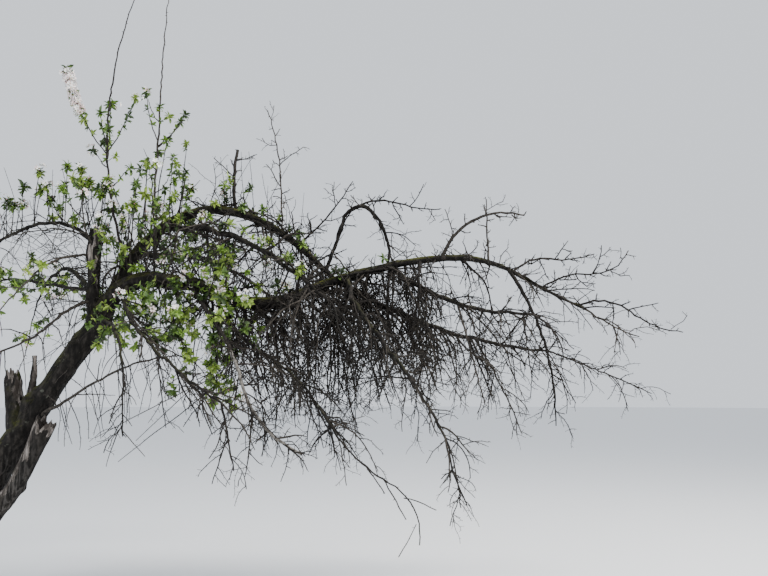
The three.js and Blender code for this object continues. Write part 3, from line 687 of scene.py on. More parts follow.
def draw_limb(name, seed):
    row = LIMBS[name]
    nodes = [f"{name}_{index + 1}" for index in range(row["spans"])] if row["spans"] > 1 else [name]
    points, faces, share, outward = limb_mesh(name, seed)
    if name not in BARE_AND_SUNLIT_SIDES:
        bark = BARK if max(row["girth"]) > SLIM_LIMB else YOUNG_BARK
        make_piece(f"bark_{name}", [form(points, faces, 0)], [bark], "bark", nodes)
        return
    # Faces painted pale wood: bare wood, and on the snag's one side painted sunlight
    bare = bare_and_sunlit_faces(name, points[faces[:, 0]], share, outward, seed)
    heap = [(points, faces, bare.astype(int))]
    if row["prong"]:
        heap.append(draw_prong(paths[name], **row["prong"], seed=seed))
    make_piece(f"wood_{name}", heap, [BARK, WEATHERED], "weathered_wood", nodes)


# Twigs

# Finer twigs: how far apart they are, how they lean, their length, radius and sides, the length of a step,
# how crooked they are, how they are drawn down or up, and whether they must stay clear of the limbs
Rule = collections.namedtuple("Rule", "spacing lean length radius sides step wobble pull tested",
                              defaults=[True])
SIDE_TWIGS = Rule(62, (32, 72), (80, 270), 4, 3, 28, 0.27, -0.08)
HUNG_TWIGS = Rule(68, (25, 82), (100, 380), 4.2, 3, 30, 0.32, -0.045)
KNOBBED_TWIGS = Rule(56, (38, 80), (35, 130), 4.8, 4, 20, 0.36, 0.05)
SPURS = Rule(32, (45, 88), (10, 46), 3.4, 3, 21, 0.32, 0.03, False)
FEW_SPURS = SPURS._replace(spacing=52, length=(7, 26), radius=2.6)
BLUNTNESS = 0.62  # tip radius of a finer twig, as a share of its foot's
THINNER = 0.8  # the most a finer twig's radius can be, as a share of its stem's there
OUTER_LOSS = 0.45  # how much shorter the last finer twig is than the first
END_MARGIN = 4
TWIG_TINTS = 3
PALE_TINT = 3


def steps_in(length, step):
    return max(round(length / step), 1)


def taper(count, foot, tip, knobbly, random):
    """Radii that shrink from a foot to a tip, with small swellings."""
    radii = tip + (foot - tip) * (1 - np.linspace(0, 1, count)) ** 0.85
    return radii * [1 + random(-knobbly, knobbly) for _ in range(count)]


def roughen(line, amount, random):
    """Makes a smooth line a little crooked, except at its ends."""
    sway = np.array([random.vector(amount) for _ in line])
    sway[0] = sway[-1] = 0
    return line + sway


def open_to_air(points, radius):
    """Whether a twig's points lie in the crown's box and clear of every limb."""
    inside = (points > CROWN_LOW).all() and (points < CROWN_HIGH).all()
    return inside and clear_of_limbs(points, radius)


def clothe(heap, points, radii, levels, random, tint, start=0.0):
    """Finer twigs down a twig from a share of its length, with finer ones on those."""
    if not levels:
        return
    rule, *finer = levels
    line = Line(points)
    place = line.length * start + rule.spacing * random(0.3, 1)
    turn = random(0, 360)
    while place < line.length - END_MARGIN:
        root, forward, index = line.spot(place)
        heading = lean_off(forward, random(*rule.lean), turn)
        length = random(*rule.length) * (1 - OUTER_LOSS * place / line.length)
        radius = min(rule.radius, THINNER * radii[index])
        steps = steps_in(length, rule.step)
        twig = crooked_line(root, heading, length, steps, rule.wobble, rule.pull, random)
        if not rule.tested or open_to_air(twig[1:], radius):
            thin = taper(len(twig), radius, radius * BLUNTNESS, 0.14, random)
            heap.append(rod(twig, thin, rule.sides, tint))
            clothe(heap, twig, thin, finer, random, tint)
        place += rule.spacing * random(0.5, 1.5)
        turn += GOLDEN_ANGLE + random(-30, 30)


# Leaves and blossom

LEAF_TINTS = 4
DROOP = 0.35
ROSETTE_LEAF = (38, 56)
TIP_LEAF = (48, 62)
PETALS = 5
PETAL_LEAN = 84
BLUSHED_SHARE = 0.25
FLOWER_RADIUS = (19, 26)
FLOWER_REACH = (14, 54)
BUD_LENGTH = 15
BUD_REACH = 16
PETAL_TINT, BLUSH_TINT, STAMEN_TINT, BUD_TINT = range(4)
# Points and faces of small shapes that lie along X
BLADE = (
    [[0, 0, 0], [0.3, 0, -0.03], [0.7, 0, -0.08], [1, 0, -0.2], [0.3, 0.2, 0.05], [0.68, 0.21, -0.01],
     [0.3, -0.2, 0.05], [0.68, -0.21, -0.01]],
    [[0, 1, 4], [1, 5, 4], [1, 2, 5], [2, 3, 5], [0, 6, 1], [1, 6, 7], [1, 7, 2], [2, 7, 3]],
)
PETAL = (
    [[0.1, 0, 0], [0.5, 0.34, 0.12], [0.5, -0.34, 0.12], [0.95, 0.24, 0.3], [0.95, -0.24, 0.3]],
    [[0, 2, 1], [1, 2, 4], [1, 4, 3]],
)
STAMENS = (
    [[0.2, 0, 0.05], [-0.1, 0.17, 0.05], [-0.1, -0.17, 0.05], [0, 0, 0.3]],
    [[0, 1, 3], [1, 2, 3], [2, 0, 3], [0, 2, 1]],
)
BUD = (
    [[0, 0, 0], [0.5, 0.3, 0], [0.5, -0.15, 0.26], [0.5, -0.15, -0.26], [1, 0, 0]],
    [[0, 2, 1], [0, 3, 2], [0, 1, 3], [4, 1, 2], [4, 2, 3], [4, 3, 1]],
)


def shaped(shape, place, size, heading, up, tint):
    """A form of a small shape, along its heading, with its face turned up."""
    side = np.cross(up, heading)
    side = unit(side) if side @ side > 1e-6 else unit(np.cross([1, 0.3, 0], heading))
    points, faces = map(np.array, shape)
    return form(place + size * (points @ np.array([heading, side, np.cross(heading, side)])), faces, tint)


def rosette(leaves, middle, forward, count, length, random, widest=88):
    """Leaves that spread round a shoot, the outer ones as wide as some degrees off it, and droop."""
    # A green picked at random; the darker ones are painted shade for leaves in shadow
    tint = int(random() * LEAF_TINTS)
    for index in range(count):
        lean = 20 + (widest - 20) * (index + random()) / count
        heading = lean_off(forward, lean, GOLDEN_ANGLE * index + random(-25, 25))
        size = length * random(0.65, 1.1)
        heading = unit(heading + np.array([0, 0, -DROOP * lean / 90]))
        up = forward + random.vector(0.7) + [0, 0, 0.4]
        leaves.append(shaped(BLADE, middle, size, heading, up, tint))


def flower(blossom, middle, forward, radius, random):
    petal_tint = PETAL_TINT if random() < 1 - BLUSHED_SHARE else BLUSH_TINT
    first = random(0, 360)
    for index in range(PETALS):
        heading = lean_off(forward, PETAL_LEAN, first + 360 / PETALS * index)
        blossom.append(shaped(PETAL, middle, radius, heading, forward, petal_tint))
    blossom.append(shaped(STAMENS, middle, radius, lean_off(forward, 90, first), forward, STAMEN_TINT))


def bloom_cluster(blossom, middle, forward, count, random):
    """Open flowers and two buds round the tip of a shoot."""
    for index in range(count):
        heading = lean_off(forward, random(5, 110), GOLDEN_ANGLE * index)
        place = middle + heading * random(*FLOWER_REACH)
        flower(blossom, place, heading, random(*FLOWER_RADIUS), random)
    for _ in range(2):
        heading = lean_off(forward, random(20, 60), random(0, 360))
        blossom.append(shaped(BUD, middle + heading * BUD_REACH, BUD_LENGTH, heading, forward, BUD_TINT))


def dress(heaps, points, random, first=0.3, spacing=58, bloom=0.25, full=False):
    """Rosettes of leaves up a shoot, with a large one at its tip that sometimes blossoms, or a full ball."""
    leaves, line = heaps["leaves"], Line(points)
    place = line.length * first + spacing * random()
    while place < line.length - spacing * 0.4:
        middle, forward, _ = line.spot(place)
        outward = lean_off(forward, 55, random(0, 360))
        rosette(leaves, middle, outward, 3 + int(random() * 4), random(*ROSETTE_LEAF), random, 75)
        place += spacing * random(0.6, 1.3)
    tip, forward = points[-1], unit(points[-1] - points[-2])
    rosette(leaves, tip, forward, 9 + int(random() * 6), random(*TIP_LEAF), random, 115)
    if full:
        rosette(leaves, tip - forward * 26, forward, 10, random(50, 66), random, 120)
    if random() < bloom:
        bloom_cluster(heaps["blossom"], tip, forward, 3 + int(random() * 4), random)


# What grows straight from the limbs between the masses. rise and course are how it leaves, in degrees above
# level and round from +X. levels are the finer twigs on it, and tip is its radius at its tip. One with a
# bloom has leaves from the first share of its length on, and that chance of blossom.
Kind = collections.namedtuple("Kind", "rise radius step wobble pull tip levels bloom first full course",
                              defaults=[1.4, [FEW_SPURS], None, 0.3, False, (0, 360)])
KINDS = dict(
    branch=Kind((-60, -15), (8, 11), 42, 0.16, -0.06, 3.4, [HUNG_TWIGS, SPURS], course=(-60, 50)),
    curtain=Kind((-85, 5), (5, 8), 36, 0.26, -0.09, 2.8, [HUNG_TWIGS, SPURS]),
    drop=Kind((-86, -66), (6, 8.5), 44, 0.1, -0.06, 3, [HUNG_TWIGS, SPURS], course=(-70, 70)),
    strand=Kind((-70, 15), (4.2, 7.5), 36, 0.17, -0.09, 2.6, [SIDE_TWIGS, SPURS], course=(-100, 100)),
    cross=Kind((-45, 15), (4, 7), 34, 0.24, -0.02, 2.6, [SIDE_TWIGS, SPURS]),
    thread=Kind((-85, -20), (2.8, 4), 36, 0.2, -0.1, 1.8),
    crook=Kind((0, 80), (3.8, 6), 24, 0.34, 0.03, 2.6, [KNOBBED_TWIGS, SPURS]),
    web=Kind((-70, 50), (6, 11), 38, 0.3, -0.04, 3.6, [SIDE_TWIGS, FEW_SPURS]),
    fine_web=Kind((-70, 60), (3, 4.6), 30, 0.2, -0.05, 2, [HUNG_TWIGS, FEW_SPURS]),
    whip=Kind((60, 88), (2.4, 3.4), 60, 0.06, 0),
    shoot=Kind((70, 89), (4.2, 6.5), 55, 0.06, 0.03, 2.4, bloom=0.2, first=0.85),
    trail=Kind((-48, -22), (3.4, 4.6), 60, 0.05, 0, 2, course=(165, 195)),
    spike=Kind((50, 88), (4, 6.5), 45, 0.08, 0.1, 2, bloom=0.35, first=0.6),
    pompom=Kind((62, 90), (3.4, 4.6), 45, 0.07, 0.1, 2.2, bloom=0.9, first=0.85, full=True),
    tassel=Kind((-70, 10), (2.8, 4.2), 40, 0.12, -0.1, bloom=0.2),
    tuft=Kind((10, 85), (2.6, 3.6), 25, 0.15, 0.04, levels=[], bloom=0.12),
)
# Limb or stem, from and to which shares of it, how many, the shortest and longest, and their kind
SPROUTS = """
main_bough 0.25 0.37 13 400 1000 curtain
main_bough 0.37 0.47 18 450 1100 curtain
main_bough 0.47 0.61 13 500 1250 curtain
main_bough 0.61 0.7 4 300 800 curtain
main_bough 0.47 0.54 7 900 1250 drop
main_bough 0.3 0.47 6 700 1150 drop
main_bough 0.54 0.66 6 600 1000 drop
front_hanging_bough 0.3 0.7 3 350 600 trail
leaf_column_shoots 0.8 0.95 3 700 950 trail
main_bough 0.4 0.58 6 500 950 trail
main_bough 0.5 0.75 10 150 500 strand
main_bough 0.745 0.755 1 560 600 branch
main_bough 0.3 0.56 8 500 900 branch
low_far_bough 0.04 0.7 9 450 850 branch
main_bough 0.75 1 18 80 360 strand
main_bough 0.12 0.72 60 300 1000 thread
low_far_bough 0.02 0.5 34 350 1000 curtain
low_far_bough 0.3 1 34 180 620 strand
low_middle_bough 0.02 1 34 180 620 strand
front_hanging_bough 0.06 1 34 150 460 strand
front_long_bough 0.06 1 36 150 520 strand
under_arch_bough 0.3 1 20 250 800 curtain
arch_bough 0.65 1 12 200 700 curtain
under_arch_bough 0.1 1 15 200 560 web
arch_bough 0.3 1 26 200 560 web
under_arch_bough 0.05 1 20 120 420 fine_web
arch_bough 0.3 1 20 120 460 fine_web
back_right_bough 0.1 1 24 200 600 web
main_bough 0.15 0.6 30 150 460 web
low_branch_shoots 0.15 0.95 16 150 480 thread
front_left_tip_twigs 0 1 6 100 300 thread
pale_hanging_twigs 0.3 0.95 18 150 420 strand
left_front_shoots 0.1 0.9 12 120 400 thread
hook_bough 0.5 1 14 90 360 strand
hook_bough 0.2 0.5 6 50 180 crook
front_right_bough 0.2 1 26 200 520 strand
back_right_bough 0.2 1 26 200 600 strand
back_left_bough 0.2 1 22 150 480 strand
front_left_bough 0.2 1 16 150 420 thread
left_bough 0.1 1 30 150 520 fine_web
snag 0.15 0.75 24 200 620 fine_web
trunk 0.7 0.96 10 200 560 thread
main_bough 0.5 1 30 40 190 crook
low_far_bough 0.2 1 18 50 180 crook
low_middle_bough 0.2 1 10 50 160 crook
arch_bough 0.45 1 20 60 240 crook
arch_bough 0.55 0.85 10 250 620 whip
left_bough 0.1 1 8 200 520 whip
left_bough 0.02 0.95 20 200 440 pompom
left_bough 0.05 0.4 4 60 150 tuft
snag 0.6 0.98 16 200 560 pompom
arch_bough 0.56 0.61 4 160 300 spike
main_bough 0.02 0.2 9 450 1000 shoot
arch_bough 0.1 0.42 8 300 800 shoot
main_bough 0.02 0.24 9 160 560 spike
arch_bough 0.02 0.4 6 120 420 spike
main_bough 0.02 0.36 28 120 420 tassel
under_arch_bough 0.02 0.6 20 120 420 tassel
arch_bough 0.38 0.46 8 200 420 tassel
leaf_column_shoots 0.05 1 20 60 200 tassel
leaf_column_shoots 0.05 1 22 30 110 tuft
fork_leaf_shoots 0.05 0.8 10 60 180 tassel
fork_leaf_shoots 0.05 0.8 12 30 100 tuft
front_right_bough 0.05 0.5 12 100 300 tassel
front_left_bough 0.05 0.5 6 80 200 tassel
back_left_bough 0.1 0.9 12 80 260 tassel
back_right_bough 0.03 0.4 10 80 280 spike
arch_bough 0.3 0.95 15 40 120 tuft
main_bough 0.03 0.42 28 40 150 tuft
main_bough 0.42 0.62 4 50 90 tuft
under_arch_bough 0.1 0.9 12 40 110 tuft
front_long_bough 0.02 0.5 6 40 120 tuft
snag 0.1 0.6 3 40 110 tuft
broken_stem 0.8 0.95 2 50 90 tuft
low_far_bough 0.02 0.45 10 300 800 cross
low_middle_bough 0.02 0.6 6 250 600 cross
front_hanging_bough 0.05 0.7 8 250 600 cross
front_long_bough 0.3 1 6 250 550 cross
"""
# Thinner stems beside a limb: the limb, from and to which shares of it, radius, how far off, and turned how
# far round it
COMPANIONS = [
    ("hook_bough", 0.02, 0.62, 7, 15, 40), ("hook_bough", 0.05, 0.8, 6, 15, 200),
    ("hook_bough", 0.3, 0.66, 5, 24, 310), ("main_bough", 0.7, 0.86, 9, 32, 80),
    ("main_bough", 0.82, 0.96, 6, 20, 250), ("under_arch_bough", 0.3, 0.9, 8, 28, 60),
    ("under_arch_bough", 0.08, 0.7, 10, 70, 300), ("arch_bough", 0.42, 0.97, 10, 75, 230),
    ("back_right_bough", 0.2, 1, 9, 45, 90), ("main_bough", 0.3, 0.56, 11, 80, 120),
    ("left_bough", 0.02, 0.6, 7, 60, 200), ("main_bough", 0.5, 0.74, 10, 70, 330),
]
COMPANION_GAP, COMPANION_SIDES = 40, 6
SPROUT_TRIES = 3
SPROUT_SIDES = 5


def sprout(heaps, path, share, kind, shortest, longest, random):
    for _ in range(SPROUT_TRIES):
        heading = direction([random(*kind.rise), random(*kind.course)])
        length = random(shortest, longest)
        steps = steps_in(length, kind.step)
        line = crooked_line(path.at(share), heading, length, steps, kind.wobble, kind.pull, random)
        if open_to_air(line[len(line) // 2:], kind.radius[1]):
            break
    else:
        return
    radii = taper(len(line), random(*kind.radius), kind.tip, 0.1, random)
    tint = int(random() * TWIG_TINTS)
    heaps["twigs"].append(rod(line, radii, SPROUT_SIDES, tint))
    clothe(heaps["twigs"], line, radii, kind.levels, random, tint, start=0.08)
    if kind.bloom:
        dress(heaps, line, random, kind.first, bloom=kind.bloom, full=kind.full)


def draw_companion(twigs, name, first, last, radius, off, turn, random):
    """A thin stem that runs beside a limb, touches it here and there, and swings away at its end."""
    count = int((last - first) * paths[name].length / COMPANION_GAP)
    line = paths[name].at(np.linspace(first, last, count))
    outward = across_line(np.radians(turn + np.linspace(0, 140, count)), *frames(line))
    apart = off * np.linspace(0.2, 1, count) ** 0.6 * [random(0.85, 1.15) for _ in range(count)]
    line = roughen(line + outward * apart[:, None], 3, random)
    radii = taper(count, radius, 3, 0.1, random)
    twigs.append(rod(line, radii, COMPANION_SIDES, int(random() * TWIG_TINTS)))
    clothe(twigs, line, radii, [KNOBBED_TWIGS, SPURS], random, 0, start=0.3)


# How far apart the rings of a stem and of a twig are, and how many sides they have
STEM_GAP, STEM_SIDES = 40, 6
TWIG_GAP, TWIG_SIDES = 34, 5
ARM_RINGS = 12
STALK_LENGTH, STALK_STEP, STALK_SIDES = (50, 95), 25, 4
STEM_ROSETTE_SPACING = 66
ROSETTE_SPACING = 50
# Tip radii of stems and twigs, leafy ones and bare
LEAFY_TIPS = (2.4, 1.8)
BARE_TWIG_TIP = 3


def draw_mass(heaps, name, owner):
    """A mass's stem, arms, twigs and leaves, with finer twigs on them."""
    random = Seeded(owner + MASS_SEED)
    row, stem, heap = MASSES[name], stems[name], heaps["twigs"]
    leafy, bare = row["leafy"], row["bare"]
    twigs, forks, leaves = solid_growth(name, owner)
    finer = [KNOBBED_TWIGS if row["knobbed"] else SIDE_TWIGS, SPURS]
    if leafy or row["thin"]:
        finer = [FEW_SPURS]
    stem_tip, twig_tip = LEAFY_TIPS if leafy else (row["tip"] or row["drawn_tip"], BARE_TWIG_TIP)
    tint = int(random() * TWIG_TINTS)
    count = max(int(stem.length / STEM_GAP), 6)
    line = roughen(stem.at(np.linspace(0, 1, count)), 5, random)
    radii = taper(count, stem_radius(name, 0), stem_tip, 0.1, random)
    pale_from = int(count * row["pale_from"])
    heap.append(rod(line[:pale_from + 1], radii[:pale_from + 1], STEM_SIDES, tint))
    if pale_from < count:
        heap.append(rod(line[pale_from:], radii[pale_from:], STEM_SIDES, PALE_TINT))
    clothe(heap, line, radii, finer, random, tint, start=0.05)
    if leafy and bare < 1:
        top = max(int(count * row["leafy_to"]), 4)
        dress(heaps, line[:top], random, row["clear"] or 0.25 + 0.65 * bare, STEM_ROSETTE_SPACING)
    for arm in arms[name]:
        line = roughen(arm.at(np.linspace(0, 1, ARM_RINGS)), 4, random)
        heap.append(rod(line, taper(ARM_RINGS, ARM_RADIUS, 2.2, 0.08, random), TWIG_SIDES, tint))
        dress(heaps, line, random, 0.25, ROSETTE_SPACING)
    for index, (twig, radius) in enumerate(twigs + forks):
        count = max(int(twig.length / TWIG_GAP), 4)
        line = roughen(twig.at(np.linspace(0, 1, count)), 5, random)
        radii = taper(count, radius * 1.2, twig_tip, 0.12, random)
        heap.append(rod(line, radii, TWIG_SIDES, tint))
        clothe(heap, line, radii, finer, random, tint, start=0.05)
        if leafy and random() >= bare:
            bloom = 1 if index < row["blooms"] else row["bloom"]
            dress(heaps, line, random, 0.2 + 0.5 * bare, ROSETTE_SPACING, bloom)
    for root, heading in leaves:
        if random() < bare:
            continue
        length = random(*STALK_LENGTH)
        stalk = crooked_line(root, heading, length, steps_in(length, STALK_STEP), 0.12, 0, random)
        heap.append(rod(stalk, taper(len(stalk), 2.6, 1.6, 0.05, random), STALK_SIDES, tint))
        dress(heaps, stalk, random, 0.5)


SPIKE_FLOWERS = 170
SPIKE_FOOT, SPIKE_TIP = 0.52, 0.99
SPIKE_ROSETTES = [0.42, 0.5, 0.7, 1, 1]


def draw_flower_spike(heaps):
    """The leading arm of the left shoot is thick with blossom."""
    random = Seeded(SPIKE_SEED)
    arm = arms["shoot_left"][0]
    for index in range(SPIKE_FLOWERS):
        share = SPIKE_FOOT + (SPIKE_TIP - SPIKE_FOOT) * index / SPIKE_FLOWERS
        heading = lean_off(arm.heading(share), random(35, 90), GOLDEN_ANGLE * index)
        place = arm.at(share) + heading * random(10, 40)
        flower(heaps["blossom"], place, heading, random(21, 28), random)
    for share in SPIKE_ROSETTES:
        forward = arm.heading(share)
        rosette(heaps["leaves"], arm.at(share) + forward * 20, forward, 9, 58, random, 120)


# Materials

class Shader:
    """A material, and short ways to add its nodes."""

    def __init__(self, name, roughness, surface):
        self.material = bpy.data.materials.new(name)
        self.material.use_nodes = True
        self.tree = self.material.node_tree
        self.surface = self.tree.nodes["Principled BSDF"]
        self.fill(self.surface, {"Roughness": roughness, **surface})
        self.places = self.node("ShaderNodeTexCoord", {}).outputs["Object"]

    def fill(self, node, inputs):
        """Links each input to another node's output, or sets it to a value."""
        for name, value in inputs.items():
            if isinstance(value, bpy.types.NodeSocket):
                self.tree.links.new(value, node.inputs[name])
            else:
                node.inputs[name].default_value = value

    def node(self, kind, inputs):
        node = self.tree.nodes.new(kind)
        self.fill(node, inputs)
        return node

    def noise(self, scale, detail=4, stretch=(1, 1, 1)):
        mapping = self.node("ShaderNodeMapping", {"Vector": self.places, "Scale": stretch})
        return self.node("ShaderNodeTexNoise", {"Vector": mapping.outputs["Vector"], "Scale": scale,
                                                "Detail": detail, "Roughness": 0.55}).outputs["Fac"]

    def ramp(self, factor, *stops):
        ramp = self.node("ShaderNodeValToRGB", {"Fac": factor})
        elements = ramp.color_ramp.elements
        while len(elements) < len(stops):
            elements.new(0.5)
        for element, (place, color) in zip(elements, stops):
            element.position = place
            element.color = (*color, 1)
        return ramp.outputs["Color"]

    def mask(self, factor, low, high):
        inputs = {"Value": factor, "From Min": low, "From Max": high}
        return self.node("ShaderNodeMapRange", inputs).outputs["Result"]

    def math(self, operation, first, second):
        node = self.node("ShaderNodeMath", {0: first, 1: second})
        node.operation = operation
        return node.outputs["Value"]

    def mix(self, factor, first, second):
        """Mixes two colours, which are the node's inputs 6 and 7."""
        node = self.tree.nodes.new("ShaderNodeMix")
        node.data_type = "RGBA"
        self.fill(node, {0: factor, 6: first, 7: (*second, 1) if isinstance(second, tuple) else second})
        return node.outputs[2]

    def upward(self, vector):
        return self.node("ShaderNodeSeparateXYZ", {"Vector": vector}).outputs["Z"]

    def finish(self, color, height=None, strength=0.5, distance=0.002):
        self.fill(self.surface, {"Base Color": color})
        if height is not None:
            bump = self.node("ShaderNodeBump", {"Strength": strength, "Distance": distance, "Height": height})
            self.fill(self.surface, {"Normal": bump.outputs["Normal"]})
        return self.material


DULL = {"Specular IOR Level": 0.2}
LEAF_GLOSS = {"Specular IOR Level": 0.4, "Subsurface Weight": 0.12,
              "Subsurface Radius": (0.004, 0.008, 0.002)}
PETAL_GLOSS = {"Subsurface Weight": 0.25, "Subsurface Radius": (0.008, 0.006, 0.006)}
# Of a mottled surface: its roughness and gloss, the size and detail of its spots, where they are darkest and
# lightest, and the size and strength of its bumps
TWIG_SURFACE = (0.88, DULL, (60, 4), (0.32, 0.68), 240, 0.5)
LEAF_SURFACE = (0.48, LEAF_GLOSS, (48, 3), (0.3, 0.7), 160, 0.35)
PETAL_SURFACE = (0.6, PETAL_GLOSS, (80, 3), (0.3, 0.62), None, 0)
WORN_HEIGHTS = (1.15, 0.6)  # bark starts to wear to grey fibres below the first height, and has by the second
LICHEN, WORN_GREY, STAIN = (0.07, 0.071, 0.056), (0.085, 0.077, 0.07), (0.03, 0.024, 0.02)
TWIG_SHADES = [
    ((0.005, 0.0042, 0.0036), (0.022, 0.0185, 0.0155)),
    ((0.0065, 0.0055, 0.0046), (0.034, 0.028, 0.0235)),
    ((0.012, 0.010, 0.0083), (0.07, 0.06, 0.05)),
    ((0.07, 0.063, 0.055), (0.26, 0.24, 0.215)),
]
# Leaf greens, picked at random for each rosette: they differ as leaves do, and the darker ones are also
# painted shade for leaves in shadow
LEAF_SHADES = [
    ((0.034, 0.07, 0.01), (0.112, 0.192, 0.033)),
    ((0.066, 0.13, 0.013), (0.215, 0.345, 0.048)),
    ((0.015, 0.033, 0.007), (0.052, 0.088, 0.02)),
    ((0.11, 0.185, 0.02), (0.32, 0.43, 0.08)),
]
BLOSSOM_SHADES = {
    "petal": ((0.86, 0.8, 0.78), (0.95, 0.94, 0.92)),
    "petal_blushed": ((0.82, 0.6, 0.62), (0.93, 0.86, 0.85)),
    "stamens": ((0.55, 0.4, 0.08), (0.75, 0.62, 0.2)),
    "buds": ((0.6, 0.2, 0.26), (0.8, 0.45, 0.5)),
}


def bark_material(name, moss_share):
    shader = Shader(name, 0.9, DULL)
    grain, patches, fine = shader.noise(34, 6, (1, 1, 0.4)), shader.noise(5.5, 3), shader.noise(170, 4)
    base = shader.ramp(grain, (0.3, (0.003, 0.0027, 0.0024)), (0.5, (0.010, 0.0085, 0.0072)),
                       (0.72, (0.036, 0.031, 0.0265)))
    pale = shader.mix(shader.mask(shader.noise(27, 5), 0.64, 0.71), base, LICHEN)
    upper = shader.mask(shader.upward(shader.node("ShaderNodeNewGeometry", {}).outputs["Normal"]), 0.15, 0.85)
    mossy = shader.math("MULTIPLY", upper, shader.mask(patches, 0.42, 0.6))
    moss = shader.ramp(fine, (0.35, (0.022, 0.027, 0.004)), (0.65, (0.13, 0.135, 0.018)))
    color = shader.mix(shader.math("MULTIPLY", mossy, moss_share), pale, moss)
    low = shader.mask(shader.upward(shader.places), *WORN_HEIGHTS)
    worn = shader.math("MULTIPLY", low, shader.mask(shader.noise(60, 5, (1, 1, 0.07)), 0.47, 0.62))
    color = shader.mix(worn, color, WORN_GREY)
    return shader.finish(color, shader.math("ADD", grain, shader.math("MULTIPLY", fine, 0.35)), 0.7, 0.006)


# Pale bare wood; on the snag's one side its pale fibres are also painted sunlight
def weathered_material():
    shader = Shader("weathered_wood", 0.85, DULL)
    fibres = shader.noise(90, 5, (1, 1, 0.09))
    wood = shader.ramp(fibres, (0.3, (0.022, 0.017, 0.014)), (0.5, (0.13, 0.112, 0.097)),
                       (0.72, (0.42, 0.365, 0.335)))
    stains = shader.mask(shader.noise(14, 4, (1, 1, 0.5)), 0.44, 0.58)
    return shader.finish(shader.mix(stains, wood, STAIN), fibres, 0.8, 0.004)


def mottled_material(name, surface, shades):
    roughness, gloss, spots, places, bumps, strength = surface
    shader = Shader(name, roughness, gloss)
    color = shader.ramp(shader.noise(*spots), *zip(places, shades))
    return shader.finish(color, bumps and shader.noise(bumps, 3), strength, 0.001)


# Stage

FLOOR_SHADE = (0.8, 0.81, 0.82)
FLOOR_RADIUS = 90
FLOOR_SIDES = 72
SKY_SHADE, SKY_STRENGTH = (0.86, 0.91, 0.98, 1), 1.15
# Name of a light, its place, what it aims at, its size, power and colour
LIGHTS = [
    ("key", (8.5, -2.0, 8.5), (2, 0, 2), 3.5, 1500, (1, 0.97, 0.92)),
    ("fill", (-4.5, -6.5, 4.5), (1.5, 0, 2), 5, 350, (0.92, 0.96, 1)),
]
CAMERA_PLACE = (2.983, -5.5, 1.40)
CAMERA_TILT = 7.93
CAMERA_LENS = CAMERA_SENSOR = 36


def soft_light(name, place, aim, size, power, color):
    data = bpy.data.lights.new(name, "AREA")
    data.shape = "DISK"
    data.size, data.energy, data.color = size, power, color
    light = place_in_scene(name, data)
    light.location = place
    x, y, z = np.array(aim) - place
    light.rotation_euler = (math.atan2(math.hypot(x, y), -z), 0, math.atan2(y, x) - math.pi / 2)


def draw_stage():
    """A pale floor, soft light, and the camera at the photograph's viewing angle."""
    mesh = bpy.data.meshes.new("floor")
    turns = np.arange(FLOOR_SIDES) * math.tau / FLOOR_SIDES
    rim = [(FLOOR_RADIUS * math.cos(turn), FLOOR_RADIUS * math.sin(turn), 0) for turn in turns]
    mesh.from_pydata(rim, [], [list(range(FLOOR_SIDES))])
    shader = Shader("floor", 0.95, {})
    color = shader.ramp(shader.noise(0.8, 2), (0, FLOOR_SHADE), (1, FLOOR_SHADE))
    mesh.materials.append(shader.finish(color))
    floor = place_in_scene("floor", mesh)
    world = bpy.data.worlds.new("studio")
    world.use_nodes = True
    sky = world.node_tree.nodes["Background"].inputs
    sky["Color"].default_value, sky["Strength"].default_value = SKY_SHADE, SKY_STRENGTH
    bpy.context.scene.world = world
    for light in LIGHTS:
        soft_light(*light)
    data = bpy.data.cameras.new("camera")
    data.lens, data.sensor_width = CAMERA_LENS, CAMERA_SENSOR
    camera = place_in_scene("camera", data)
    camera.location = CAMERA_PLACE
    camera.rotation_euler = (math.radians(90 + CAMERA_TILT), 0, 0)
    bpy.context.scene.camera = camera


# The whole tree

CROWN_MARGIN = 20

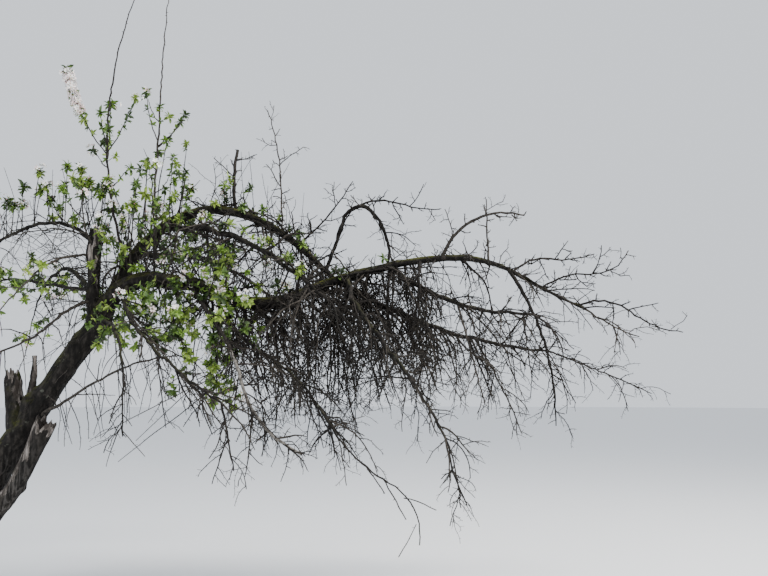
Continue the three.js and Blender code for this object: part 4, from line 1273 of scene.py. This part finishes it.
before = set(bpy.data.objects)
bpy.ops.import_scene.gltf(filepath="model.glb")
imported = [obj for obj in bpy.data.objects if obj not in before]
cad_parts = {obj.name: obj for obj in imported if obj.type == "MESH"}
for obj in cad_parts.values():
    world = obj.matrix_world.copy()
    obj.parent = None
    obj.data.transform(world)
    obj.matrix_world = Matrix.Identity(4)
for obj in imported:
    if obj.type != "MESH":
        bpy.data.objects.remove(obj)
solid_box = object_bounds()
CROWN_LOW = np.array(solid_box[0]) / MM + [CROWN_MARGIN, CROWN_MARGIN, GROUND_CLEARANCE]
CROWN_HIGH = np.array(solid_box[1]) / MM - CROWN_MARGIN

BARK = bark_material("bark", 0.85)
YOUNG_BARK = bark_material("young_bark", 0.2)
WEATHERED = weathered_material()
twig_shades = [mottled_material(f"twig_{number}", TWIG_SURFACE, shades)
               for number, shades in enumerate(TWIG_SHADES, 1)]
leaf_shades = [mottled_material(f"leaf_{number}", LEAF_SURFACE, shades)
               for number, shades in enumerate(LEAF_SHADES, 1)]
blossom_shades = [mottled_material(name, PETAL_SURFACE, shades) for name, shades in BLOSSOM_SHADES.items()]

draw_stage()
for seed, name in enumerate(LIMBS, 1):
    draw_limb(name, seed)

crown = {zone: dict(twigs=[], leaves=[], blossom=[]) for zone in ZONES}
for owner, name in enumerate(MASSES):
    draw_mass(crown[zone_of(name, 0)], name, owner)
draw_flower_spike(crown["fork"])
for seed, row in enumerate(SPROUTS.strip().split("\n"), SPROUT_SEED):
    random = Seeded(seed)
    name, *measures, kind = row.split()
    first, last, count, shortest, longest = map(float, measures)
    path = (paths | stems)[name]
    for index in range(int(count)):
        share = first + (last - first) * (index + random()) / count
        sprout(crown[zone_of(name, share)], path, share, KINDS[kind], shortest, longest, random)

random = Seeded(COMPANION_SEED)
for name, first, *rest in COMPANIONS:
    draw_companion(crown[zone_of(name, first)]["twigs"], name, first, *rest, random)

leafy_kinds = [("leaves", leaf_shades, "leafy_shoots"), ("blossom", blossom_shades, "blossom")]
for zone, heaps in crown.items():
    make_pieces(f"twigs_{zone}", heaps["twigs"], twig_shades, "bare_twigs", ZONES[zone])
    for kind, shades, slot in leafy_kinds:
        if heaps[kind]:
            make_pieces(f"{kind}_{zone}", heaps[kind], shades, slot, [], False)
